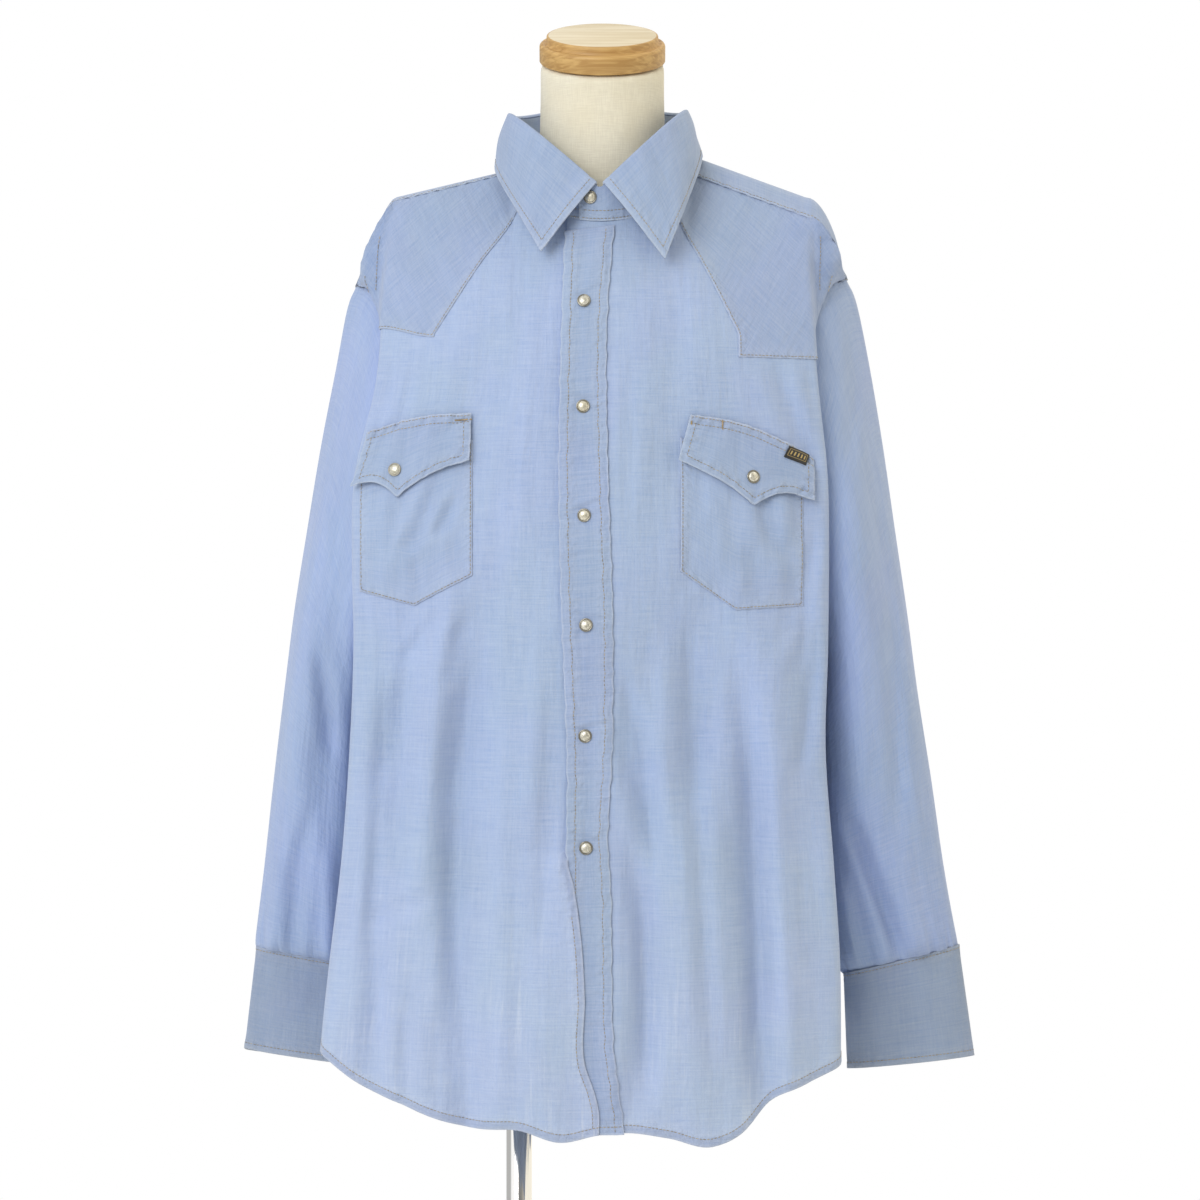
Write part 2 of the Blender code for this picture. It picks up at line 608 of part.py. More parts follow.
def front_rows(side):
    """Heights down a front: the armhole's stations on the outer edge, then on to the hem."""
    pit_z = SHOULDER[side]["pit"][2]
    outer = armhole_heights(side, 0, ARMHOLE_STEPS)
    down = (np.arange(ARMHOLE_STEPS + 1) / ARMHOLE_STEPS) ** 1.4
    inner_upper = NECK_FRONT[1] - (NECK_FRONT[1] - pit_z) * down
    if side == RIGHT:
        inner_lower = np.array((0.945, 0.872, 0.836, 0.818, 0.800, 0.786, 0.740, 0.680, 0.635, 0.610))
    else:
        inner_lower = np.linspace(pit_z, 0.589, 11)[1:]
    return outer, inner_upper, inner_lower


def hem_height(side, q, name=None):
    past = np.clip((q - RIDGE_AT) / (1 - RIDGE_AT), 0, 1)
    share = np.minimum(q / RIDGE_AT, 1) + 0.25 * past
    return smooth(share, HEM[:, 0], column(HEM, HEM_COLUMNS, name or side_name(side)))


def front_limit(side, q):
    """Height of the front's cut edge: its top line, less the seam."""
    lower = SEAM_LOWER * ease(q, 0.336, 0.4) + DROP_LOWER * ease(q, 0.68, 0.78)
    return front_top(side, q) - lower


def make_front(side, collection):
    outer, inner_upper, inner_lower = front_rows(side)
    inner = np.concatenate((inner_upper, inner_lower))
    if side == RIGHT:
        edge_x = smooth(inner, UNDERLAP[:, 0], column(UNDERLAP, UNDERLAP_COLUMNS, "edge"))
    else:
        edge_x = smooth(inner, BAND[:, 0], column(BAND, BAND_COLUMNS, "free_edge")) + 0.0015
    edge_q = share_of(side, edge_x, inner)[:, None]
    shared = np.broadcast_to(SHEET[2:-1], (len(inner), len(SHEET) - 3))
    second = np.maximum(edge_q + 0.025, 0)
    third = np.maximum(edge_q + 0.055, LAPPED if side == RIGHT else SHEET[1])
    q = np.concatenate((edge_q, second, third, shared, np.full((len(inner), 1), SEAM_SHARE)), 1)
    top = front_limit(side, q[0])
    outer[0] = top[-1]
    hem = hem_height(side, q[-1])
    inner[-1] = hem[0]
    lower_outer = np.linspace(outer[-1], hem[-1], len(inner_lower) + 1)[1:]
    outer = np.concatenate((outer, lower_outer))
    z = patch(inner, outer, top, hem)
    points = front(side, q, np.minimum(z, front_limit(side, q)))
    return cloth("front_" + side_name(side), points, (0, -1, 0), collection, CHAMBRAY)


def armhole_heights(side, first, last):
    """Heights of the armhole's stations from one number to another."""
    drop_z, pit_z = SHOULDER[side]["drop"][2], SHOULDER[side]["pit"][2]
    turn = math.pi * np.arange(first, last + 1) / ARMHOLE_STEPS
    return drop_z - (drop_z - pit_z) * (1 - np.cos(turn)) / 2


def back_seam(side, q):
    """Height of the back yoke's seam: a station of the armhole at the sides, lowest at its point."""
    outer = armhole_heights(side, 3, 3)[0]
    centre = armhole_heights(RIGHT, 3, 3)[0] - BACK_YOKE_POINT
    return blend(outer, centre, (1 - np.clip(np.abs(q), 0, 1)) ** 1.3)


def make_back(collection):
    """The back, from its yoke seam to the hem, both sides in one piece."""
    halves = []
    for side in (RIGHT, LEFT):
        q = SHEET.copy()
        q[-1] = SEAM_SHARE
        upper = armhole_heights(side, 3, ARMHOLE_STEPS)
        upper[0] -= SEAM_GAP
        hem = hem_height(side, q, "back")
        outer = np.concatenate((upper, np.linspace(upper[-1], hem[-1], 9)[1:]))
        seam = back_seam(side, q) - SEAM_GAP
        inner = np.linspace(seam[0], hem[0], len(outer))
        z = patch(inner, outer, seam, hem)
        halves.append(back(side, np.broadcast_to(q, z.shape), z))
    points = np.concatenate((halves[0][:, ::-1], halves[1][:, 1:]), 1)
    return cloth("back", points, (0, 1, 0), collection, CHAMBRAY)


def make_back_yoke(collection):
    """The back yoke: from the front shoulder seams over the shoulders and down to its pointed seam."""
    halves = []
    for side in (RIGHT, LEFT):
        q = SHEET.copy()
        q[-1] = SEAM_SHARE
        start, length = back_turn(side, q)
        outer = np.interp(np.linspace(0, 3, TURN_ROWS + FLAT_ROWS), np.arange(4), armhole_heights(side, 0, 3))
        seam = back_seam(side, q)
        rows = [start + length * t for t in np.linspace(1, 0, TURN_ROWS)]
        rows += [blend(start, seam, t) for t in np.linspace(0, 1, FLAT_ROWS + 1)[1:]]
        reach = np.stack(rows)
        reach[0] -= SEAM_GAP * (1 - ease(q, 0.8, 0.94))
        past = ease(q, 0.8, 1.0)
        reach = blend(reach, outer[:, None], past ** 4)
        halves.append(back(side, np.broadcast_to(q, reach.shape), reach))
    points = np.concatenate((halves[0][:, ::-1], halves[1][:, 1:]), 1)
    return cloth("yoke_back", points, (0, 1, 0.6), collection, CHAMBRAY_DOUBLE)


def stations(first, last):
    """Column shares from first to last, on the sheet's own columns where those fall between."""
    inside = [q for q in SHEET if first + 0.018 < q < last - 0.012]
    return np.array(sorted({first, last, *inside}))


def make_front_yoke(side, collection):
    """A pointed front yoke, laid on the front."""
    name = side_name(side)
    rows = 8
    top_z = YOKE_EDGE[-1, 0] - YOKE_EASE
    heights = top_z - (top_z - YOKE_POINT[side]) * np.linspace(0, 1, rows) ** 1.2
    inner_x = smooth(heights, YOKE_EDGE[:, 0], column(YOKE_EDGE, YOKE_COLUMNS, name))
    inner_q = share_of(side, side * inner_x, heights)
    shared = SHEET[(SHEET > 0.70) & (SHEET < YOKE_REACH - 0.01)]
    top_q = np.concatenate((np.linspace(inner_q[0], shared[0], 5)[:-1], shared, (YOKE_REACH,)))
    foot_q = np.concatenate((np.linspace(inner_q[-1], shared[0], 5)[:-1], shared, (YOKE_REACH,)))
    top = front_top(side, top_q) - YOKE_EASE
    heights[0] = top[0]
    across = np.linspace(0, 1, len(top_q))
    foot = blend(YOKE_POINT[side], YOKE_LOWER[side], ease(across, 0, 0.5))
    outer = np.linspace(top[-1], foot[-1], rows)
    grid = patch(pairs(inner_q, heights), pairs(YOKE_REACH, outer), pairs(top_q, top), pairs(foot_q, foot))
    out = WALL + LAID_GAP + YOKE_CORNER * ease(grid[..., 0], 0.74, 0.82)
    points = lifted(front, side, grid[..., 0], grid[..., 1], out)
    return cloth("yoke_front_" + name, points, (0, -1, 0.3), collection, CHAMBRAY_DOUBLE)


def on_front(side, x, z, out):
    """Places on the front by X and height, moved out."""
    return lifted(front, side, share_of(side, x, z), z, np.broadcast_to(out, np.shape(x)))


def make_band(collection):
    heights = np.concatenate((np.linspace(BAND_TOP, 0.875, 12), np.array((0.846, 0.818, 0.800, 0.776)),
                              np.linspace(0.740, 0.591, 6)))
    free = smooth(heights, BAND[:, 0], column(BAND, BAND_COLUMNS, "free_edge"))
    sewn = smooth(heights, BAND[:, 0], column(BAND, BAND_COLUMNS, "sewn_edge"))
    x = blend(free[:, None], sewn[:, None], np.linspace(0, 1, 4)[None])
    z = np.repeat(heights[:, None], 4, 1)
    points = on_front(LEFT, x, z, LAID_GAP + WALL)
    return cloth("placket_band", points, (0, -1, 0), collection, CHAMBRAY)


def make_pocket(side, collection):
    """A patch pocket: columns on the front's own columns, with one at the point of its foot."""
    cut = POCKET[side]
    middle = np.array(0.5 * (cut["top"] + cut["inner_foot"]))
    first, point, last = (float(share_of(side, np.array(x), middle))
                          for x in (cut["inner"], cut["point"][0], cut["outer"]))
    q = stations(first, last)
    q[np.argmin(np.abs(q - point))] = point
    foot = np.where(q <= point, blend(cut["inner_foot"], cut["point"][1], (q - first) / (point - first)),
                    blend(cut["point"][1], cut["outer_foot"], (q - point) / (last - point)))
    z = blend(cut["top"], foot[None], np.linspace(0, 1, 6)[:, None])
    points = lifted(front, side, np.broadcast_to(q, z.shape), z, np.full(z.shape, LAID_GAP + WALL))
    return cloth("pocket_" + side_name(side), points, (0, -1, 0), collection, CHAMBRAY)


def flap_places(side, rows, columns):
    """X and height of a flap's grid: straight top, scalloped foot with its point."""
    cut = FLAP[side]
    corners = {name: np.array(place) for name, place in cut.items()}
    across = corners["outer_foot"] - corners["inner_foot"]
    turn = (corners["point"][0] - corners["inner_foot"][0]) / across[0]
    u = np.linspace(0, 1, columns)
    middle = np.argmin(np.abs(u - turn))
    u[: middle + 1] = np.linspace(0, turn, middle + 1)
    u[middle:] = np.linspace(turn, 1, columns - middle)
    half = np.where(u <= turn, u / turn, (1 - u) / (1 - turn))
    base = np.where(u[:, None] <= turn, blend(corners["inner_foot"], corners["point"], (u / turn)[:, None]),
                    blend(corners["point"], corners["outer_foot"], ((u - turn) / (1 - turn))[:, None]))
    base[:, 1] += FLAP_SCALLOP * np.sin(math.pi * half) * np.where(u <= turn, 0.6, 1.0)
    top = blend(corners["inner_top"], corners["outer_top"], u[:, None])
    v = np.linspace(0, 1, rows)[:, None, None]
    return blend(top[None], base[None], v), np.linspace(0, 1, rows)


def make_flap(side, collection):
    places, down = flap_places(side, 4, 9)
    out = 2 * (LAID_GAP + WALL) + FLAP_FLARE * down[:, None] ** 2
    points = on_front(side, places[..., 0], places[..., 1], np.broadcast_to(out, places.shape[:2]))
    return cloth("flap_" + side_name(side), points, (0, -1, 0), collection, CHAMBRAY_DOUBLE)


def fold_place(side, angle):
    """The collar's fold at an angle round the neck, 0 at the front and pi at the back."""
    side_half = FOLD_SIDE_HALF[side]
    side_y, side_z = FOLD_SIDE[side]
    sine, cosine = np.sin(angle), np.cos(angle)
    y = np.where(cosine > 0, blend(side_y, FOLD_FRONT[0], cosine), blend(side_y, FOLD_BACK[0], -cosine))
    z = np.where(cosine > 0, blend(FOLD_FRONT[1], side_z, sine), blend(FOLD_BACK[1], side_z, sine))
    return np.stack((side * side_half * sine, y, z), -1)


def neckline_place(side, angle):
    sine, cosine = np.sin(angle), np.cos(angle)
    y = np.where(cosine > 0, blend(NECK_SIDE_Y, NECK_FRONT[0], cosine),
                 blend(NECK_SIDE_Y, NECK_BACK[0], -cosine))
    z = np.where(cosine > 0, blend(NECK_SIDE_Z, NECK_FRONT[1], cosine),
                 blend(NECK_SIDE_Z, NECK_BACK[1], -cosine))
    return np.stack((side * NECK_HALF * sine, y, z), -1)


def stand_place(turn, down):
    """A place on the stand: turn is the angle from the front, down is 0 at the top and 1 at the foot."""
    side = RIGHT if math.sin(turn) < 0 else LEFT
    angle = abs((turn + math.pi) % (2 * math.pi) - math.pi)
    top = fold_place(side, angle) * np.array((STAND_IN, STAND_IN, 1.0)) - np.array((0, 0, STAND_DROP))
    foot = neckline_place(side, angle) + np.array((0, 0, STAND_SEAM))
    lapped = 1 - ease(turn, 0.0, 0.6)
    return blend(top, foot, down) - np.array((0, (WALL + LAID_GAP) * lapped, 0))


def make_collar_stand(collection):
    """The stand: a band round the neck whose left end laps over its right end and snaps."""
    turns = np.linspace(-STAND_LAP[0], 2 * math.pi + STAND_LAP[1], 26)
    grid = np.array([[stand_place(turn, down) for turn in turns] for down in np.linspace(0, 1, 4)])
    corners = (grid[1, 0], grid[1, 1], grid[2, 1], grid[2, 0])
    snap_on_grid("snap_stand", corners, (0, -1, 0), collection)
    cloth("collar_stand", grid, grid.mean((0, 1)), collection, CHAMBRAY_DOUBLE,
          round_axis=True)


def make_collar(collection):
    """The collar's fall, from the fold to its lower edge and two points."""
    t = np.linspace(0, 1, 5)[:, None, None]
    halves = []
    for side in (RIGHT, LEFT):
        angle = np.radians(np.array((2, 14, 26, 38, 52, 66, 80, 94, 108, 124, 142, 160, 180.0)))
        table = FALL_EDGE[side]
        lower = np.stack([smooth(np.degrees(angle), table[:, 0], column(table, FALL_COLUMNS, name))
                          for name in "xyz"], -1)
        lower[:, 0] *= side
        upper = fold_place(side, angle)
        bow = FALL_BOW * np.sin(math.pi * t) * np.stack((side * np.sin(angle), -np.cos(angle),
                                                         0.6 * np.ones_like(angle)), -1)
        halves.append(blend(upper[None], lower[None], t) + bow)
    points = np.concatenate((halves[0], halves[1][:, ::-1][:, 1:]), 1)
    cloth("collar", points, (0, 0, 1), collection, CHAMBRAY_DOUBLE)


def sleeve_rings(side, at, turns):
    """Outer points of a sleeve at stations along it, by angle: 0 outside, pi inside, front first."""
    table = SLEEVE[side]
    numbers = np.arange(len(table), dtype=float)
    value = {name: smooth(at, numbers, column(table, SLEEVE_COLUMNS, name))[:, None]
             for name in SLEEVE_COLUMNS}
    w = (1 - np.cos(turns))[None] / 2
    sine = np.sin(turns)[None]
    x = blend(value["outer_x"], value["inner_x"], w) - value["inset"] * sine**2 + ARMHOLE_GAP
    z = blend(value["outer_z"], value["inner_z"], w)
    centre = blend(0.0, SHOULDER[side]["pit"][1], w)
    y = centre - np.where(sine > 0, value["front"], value["back"]) * sine
    return np.stack(np.broadcast_arrays(side * x, y, z), -1)


def sleeve_grid(side):
    """The sleeve's rings, whose front and back halves match the armhole's stations."""
    turns = 2 * math.pi * np.arange(2 * ARMHOLE_STEPS) / (2 * ARMHOLE_STEPS)
    return sleeve_rings(side, SLEEVE_AT, turns)


def make_sleeve(side, collection):
    rings = sleeve_grid(side)
    cloth("sleeve_" + side_name(side), rings, rings.mean((0, 1)), collection, CHAMBRAY, closed=True)


def grid_normals(grid):
    """Unit normals at a grid's points."""
    across = np.gradient(grid, axis=1)
    down = np.gradient(grid, axis=0)
    normal = np.cross(across, down)
    return normal / np.linalg.norm(normal, axis=-1, keepdims=True)


def make_sleeve_placket(side, collection):
    """The plain strip over the sleeve's slit, above the cuff's lap: one facet of the sleeve, moved out."""
    rings = sleeve_grid(side)[-PLACKET_ROWS:, PLACKET_COLUMN:PLACKET_COLUMN + 2]
    out = grid_normals(rings) * side * (WALL + LAID_GAP)
    cloth("sleeve_placket_" + side_name(side), rings + out, (0, 1, 0), collection, CHAMBRAY)


def cuff_grid(side):
    """The cuff's points: once round from the back, then lapping over its own start."""
    seam = dict(zip(SLEEVE_COLUMNS, SLEEVE[side][-1]))
    foot = CUFF[side]
    number = np.arange(CUFF_STEPS + CUFF_LAP + 1)
    turns = 1.5 * math.pi + 2 * math.pi * number / CUFF_STEPS
    over = ease(number, CUFF_STEPS - 3, CUFF_STEPS)
    down = np.linspace(0, 1, 4)[:, None]
    w = (1 - np.cos(turns)) / 2
    outer_x = blend(seam["outer_x"], foot["outer"][0], down) + CUFF_EASE
    inner_x = blend(seam["inner_x"], foot["inner"][0], down) - CUFF_EASE
    outer_z = blend(seam["outer_z"] - CUFF_SEAM, foot["outer"][1], down)
    inner_z = blend(seam["inner_z"] - CUFF_SEAM, foot["inner"][1], down)
    grow = 1 + (CUFF_WALL + LAID_GAP + SEAM_GAP) / CUFF_DEPTH["back"] * over
    depth = np.where(np.sin(turns) > 0, CUFF_DEPTH["front"], CUFF_DEPTH["back"]) * grow
    middle = blend(outer_x, inner_x, 0.5)
    x = middle + (blend(outer_x, inner_x, w) - middle) * (1 + (grow - 1) * 0.5) + SEAM_GAP
    y = -depth * np.sin(turns) + 0.0 * down
    return np.stack((side * x, y, blend(outer_z, inner_z, w)), -1)


def make_cuff(side, collection):
    points = cuff_grid(side)
    cloth("cuff_" + side_name(side), points, points.mean((0, 1)), collection, CHAMBRAY_CUFF,
          wall=CUFF_WALL, round_axis=True)


# The dress form and its stand

def cloth_over(x):
    """The front's and yoke's outer points at one X, from front to back: what rests on the form there."""
    side = RIGHT if x < 0 else LEFT
    q = max(abs(x), NECK_HALF) / SHOULDER[side]["tip"][0] * RIDGE_AT
    start, length = back_turn(side, q)
    yoke = back(side, q, start + length * np.linspace(1, 0, TURN_ROWS))
    below = front(side, q, front_top(side, q) - np.array((0.06, 0.03, 0.015)))
    return np.concatenate((below, yoke))[:, 1:]


def nearest(place, line):
    """Distance in Y and Z from a place to a line of points."""
    first, last = line[:-1], line[1:]
    along = last - first
    t = np.clip(((place - first) * along).sum(-1) / (along * along).sum(-1), 0, 1)[:, None]
    return np.linalg.norm(place - (first + along * t), axis=-1).min()


def shoulder_ring(x, ring):
    """One ring of the form's shoulders, just under the yoke that it carries."""
    line = cloth_over(x)
    radius = SHOULDER_RADIUS * math.sqrt(max(0.08, 1 - (abs(x) / (SHOULDER_END + 0.006)) ** 8))
    need = radius + WALL + SHOULDER_SEAT
    centre = line[np.argmax(line[:, 1])] - np.array((0, need))
    for _ in range(6):
        centre[1] -= need - nearest(centre, line)
    turns = 2 * math.pi * np.arange(ring) / ring
    y = centre[0] + radius * np.cos(turns)
    z = centre[1] + radius * np.sin(turns)
    return np.stack((np.full(ring, x), y, z), -1)


def make_form(collection, cutters):
    """Torso, shoulders and neck, joined to one padded body."""
    turns = 2 * math.pi * np.arange(FORM_RING) / FORM_RING
    sine = np.sin(turns)
    rings = []
    for row in FORM:
        size = dict(zip(FORM_COLUMNS, row))
        depth = np.where(sine < 0, size["front"], size["back"]) * np.sign(sine) * np.abs(sine) ** FORM_SQUARE
        rings.append(np.stack((size["half_width"] * np.cos(turns), depth,
                               np.full(FORM_RING, size["height"])), -1))
    torso = loft("form_torso", rings, collection, LINEN)
    bar = loft("form_shoulders", [shoulder_ring(x, 20) for x in np.linspace(-SHOULDER_END, SHOULDER_END, 17)],
               cutters, LINEN)
    rings = []
    for row in NECK:
        size = dict(zip(NECK_COLUMNS, row))
        rings.append(np.stack((NECK_X + size["half_width"] * np.cos(turns),
                               size["centre_y"] + size["half_depth"] * sine,
                               np.full(FORM_RING, size["height"])), -1))
    rings[-1][:, 2] += (rings[-1][:, 1] - size["centre_y"]) * math.tan(CAP_TILT)
    neck = loft("form_neck", rings, cutters, LINEN)
    for other in (bar, neck):
        union = torso.modifiers.new("join_" + other.name, "BOOLEAN")
        union.operation = "UNION"
        union.object = other
        union.solver = "EXACT"
        other.hide_render = True
        other.display_type = "WIRE"


def rounded_edge(radius, height, round_off):
    """A profile's rounded outer top edge, from its flat top down to its side."""
    return [(radius - round_off + round_off * math.sin(a), height - round_off + round_off * math.cos(a))
            for a in np.linspace(0, 0.5 * math.pi, 5)]


def make_stand(collection):
    profile = [(0.0, BASE_THICKNESS), *rounded_edge(BASE_RADIUS, BASE_THICKNESS, BASE_EDGE)]
    profile += [(BASE_RADIUS, 0.0), (0.0, 0.0)]
    place = Matrix.Translation((POLE_X, POLE_Y, 0))
    turned_piece("form_base", profile, 48, place, collection, CHROME)
    low, high = BASE_THICKNESS + STAND_GAP, FORM_FLOOR - STAND_GAP
    profile = [(0.0, high), (POLE_RADIUS, high), (POLE_RADIUS, low), (0.0, low)]
    turned_piece("form_pole", profile, 24, place, collection, CHROME)


def make_cap(collection):
    """The neck's wooden cap: a thick turned disc with a rounded shoulder, tilted with the neck."""
    profile = [(0.0, CAP_THICKNESS), *rounded_edge(CAP_RADIUS, CAP_THICKNESS, CAP_BEVEL)]
    profile += [(CAP_RADIUS, 0.001), (CAP_RADIUS - 0.001, 0.0), (0.0, 0.0)]
    top = dict(zip(NECK_COLUMNS, NECK[-1]))
    base = Vector((NECK_X, top["centre_y"], top["height"] + STAND_GAP))
    place = Matrix.Translation(base) @ Matrix.Rotation(CAP_TILT, 4, "X")
    turned_piece("form_neck_cap", profile, 40, place, collection, WOOD)


# Snaps and the tab

def snap_profile():
    """A pearl dome in its metal ring, from the top down the outside."""
    dome = [(0.84 * SNAP_RADIUS * math.sin(a), 0.0012 + (SNAP_RISE - 0.0012) * math.cos(a))
            for a in np.linspace(0, 0.5 * math.pi, 4)]
    return dome + [(SNAP_RADIUS * 0.95, 0.0014), (SNAP_RADIUS, 0.0007), (SNAP_RADIUS * 0.9, 0.0), (0.0, 0.0)]


def add_snap(name, place, normal, collection):
    turn = Vector((0, 0, 1)).rotation_difference(Vector(normal)).to_matrix().to_4x4()
    turned_piece(name, snap_profile(), 16, Matrix.Translation(Vector(place)) @ turn, collection,
                 PEARL)


def normal_at(surface_points):
    """Unit normal of three places, the first being the seat."""
    a, b, c = (Vector(p) for p in surface_points)
    return (b - a).cross(c - a).normalized()


def snap_on_front(name, side, x, z, out, collection):
    step = 0.003
    seat = on_front(side, np.array((x, x + step, x)), np.array((z, z, z + step)), np.full(3, out))
    normal = normal_at(seat)
    if normal.y > 0:
        normal = -normal
    add_snap(name, Vector(seat[0]) + normal * SEAM_GAP, normal, collection)


def snap_on_grid(name, corners, out, collection):
    """A snap in the middle of a facet: its corners are in order round it, and out is a way it looks."""
    corners = [Vector(corner) for corner in corners]
    normal = (corners[2] - corners[0]).cross(corners[3] - corners[1]).normalized()
    if normal.dot(Vector(out)) < 0:
        normal = -normal
    middle = sum(corners, Vector()) / 4
    add_snap(name, middle + normal * SEAM_GAP, normal, collection)


def make_cuff_snap(side, collection):
    grid = cuff_grid(side)
    column = CUFF_STEPS + 1
    corners = (grid[1, column], grid[1, column + 1], grid[2, column + 1], grid[2, column])
    snap_on_grid("snap_cuff_" + side_name(side), corners, (0, 1, 0), collection)


def make_tab(collection):
    width, height = TAB_SIZE
    cosine, sine = math.cos(TAB_TURN), math.sin(TAB_TURN)
    u, v = np.meshgrid(np.linspace(-width / 2, width / 2, 4), np.linspace(height / 2, -height / 2, 3))
    x = TAB_CENTRE[0] + u * cosine - v * sine
    z = TAB_CENTRE[1] + u * sine + v * cosine
    base = 2 * (LAID_GAP + WALL) + FLAP_FLARE * 0.1 + TAB_WALL + LAID_GAP
    points = on_front(LEFT, x, z, np.full(x.shape, base))
    cloth("label_tab", points, (0, -1, 0), collection, TAB_BLACK, wall=TAB_WALL)


def main():
    for old in list(bpy.data.objects):
        bpy.data.objects.remove(old, do_unlink=True)
    shirt = bpy.data.collections.new("western_shirt_on_form")
    cutters = bpy.data.collections.new("cutters")
    for made in (shirt, cutters):
        bpy.context.scene.collection.children.link(made)

    for side in (RIGHT, LEFT):
        make_front(side, shirt)
        make_front_yoke(side, shirt)
        make_pocket(side, shirt)
        make_flap(side, shirt)
        make_sleeve(side, shirt)
        make_sleeve_placket(side, shirt)
        make_cuff(side, shirt)
        make_cuff_snap(side, shirt)
        x, z = POCKET_SNAP[side]
        out = 2 * (LAID_GAP + WALL) + FLAP_FLARE * 0.45 + SEAM_GAP
        snap_on_front("snap_pocket_" + side_name(side), side, x, z, out, shirt)
    make_back(shirt)
    make_back_yoke(shirt)
    make_band(shirt)
    make_collar_stand(shirt)
    make_collar(shirt)
    make_tab(shirt)
    for number, (x, z) in enumerate(zip(SNAP_X, SNAP_HEIGHTS), 1):
        snap_on_front(f"snap_front_{number}", LEFT, x, z, LAID_GAP + WALL, shirt)

    make_form(shirt, cutters)
    make_cap(shirt)
    make_stand(shirt)


main()
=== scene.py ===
import math

import bmesh
import bpy
import numpy as np
from mathutils import Matrix, Vector


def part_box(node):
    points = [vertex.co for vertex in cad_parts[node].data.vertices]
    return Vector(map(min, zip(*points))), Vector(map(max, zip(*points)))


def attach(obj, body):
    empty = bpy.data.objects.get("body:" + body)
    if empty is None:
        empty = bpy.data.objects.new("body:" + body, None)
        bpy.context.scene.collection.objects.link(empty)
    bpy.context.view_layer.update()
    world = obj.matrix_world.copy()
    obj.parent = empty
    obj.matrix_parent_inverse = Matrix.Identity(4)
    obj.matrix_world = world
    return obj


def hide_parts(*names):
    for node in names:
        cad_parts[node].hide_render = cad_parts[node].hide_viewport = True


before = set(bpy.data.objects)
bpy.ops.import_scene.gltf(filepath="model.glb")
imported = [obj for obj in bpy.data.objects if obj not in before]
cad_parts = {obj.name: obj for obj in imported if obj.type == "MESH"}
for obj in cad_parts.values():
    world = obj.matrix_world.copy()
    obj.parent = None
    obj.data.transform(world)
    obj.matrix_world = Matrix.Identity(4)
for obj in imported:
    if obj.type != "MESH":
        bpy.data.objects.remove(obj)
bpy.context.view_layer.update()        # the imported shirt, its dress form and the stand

# ---- The view: level with the chest and straight on, far enough back to look almost flat.
EYE_BACK, EYE_HEIGHT, LENS = 3.500, 1.020, 125.0


def placed(name, data):
    """An object in the scene."""
    made = bpy.data.objects.new(name, data)
    bpy.context.scene.collection.objects.link(made)
    return made


camera = placed("camera", bpy.data.cameras.new("camera"))
camera.data.lens = LENS
camera.location = (0.0, -EYE_BACK, EYE_HEIGHT)
camera.rotation_euler = (math.radians(90), 0.0, 0.0)
bpy.context.scene.camera = camera
bpy.context.scene.view_settings.view_transform = "Standard"


# ---- The room: a pale floor, white air, a wide soft light to the viewer's left and a dim room behind the
# viewer, which is what the polished pole shows.
FLOOR_RADIUS, FLOOR_DROP = 2.600, 0.0003
LAMP_AT, LAMP_AIM, LAMP_SIZE, LAMP_POWER = (-1.3, -2.8, 2.3), (0.0, 0.0, 1.05), 1.7, 52.0
AIR_DIFFUSE, AIR_TOP, AIR_LEFT, AIR_RIGHT, AIR_BEHIND_VIEWER = 0.57, 0.30, 0.62, 0.56, 0.32
AIR_COOL, AIR_WARM = (0.98, 0.99, 1.0, 1), (1.0, 0.955, 0.84, 1)     # from the left, and from the right
# Bearings round the room, in radians from the viewer: where each part of it fades in and out
LEFT_WINDOW, VIEWER_SIDE = (-1.50, -1.25, -0.60, -0.42), (-0.50, -0.38, 0.25, 0.95)
RIGHT_WALL, WARM_SIDE = (0.7, 1.1), (-0.5, 1.0)
WALL_HEIGHTS, CEILING = (-0.5, -0.1, 0.45, 0.85), (0.2, 0.9)         # as the upward part of a direction


class Value:
    """A socket in a tree of nodes.  Arithmetic on it adds Math nodes."""

    def __init__(self, tree, socket):
        self.tree, self.socket = tree, socket

    def maths(self, operation, *others):
        return self.tree.node("ShaderNodeMath", dict(enumerate((self, *others))), operation=operation)

    def __add__(self, other):
        return self.maths("ADD", other)

    __radd__ = __add__

    def __mul__(self, other):
        return self.maths("MULTIPLY", other)

    __rmul__ = __mul__

    def __sub__(self, other):
        return self.maths("SUBTRACT", other)

    def __rsub__(self, other):
        return self * -1 + other

    def rise(self, low, high):
        """0 below low, 1 above high, and smooth between them."""
        return self.tree.node("ShaderNodeMapRange", {0: self, 1: low, 2: high},
                              interpolation_type="SMOOTHSTEP")

    def within(self, low, full, still, high):
        """0 below low and above high, and 1 from full to still."""
        return self.rise(low, full) * (1 - self.rise(still, high))


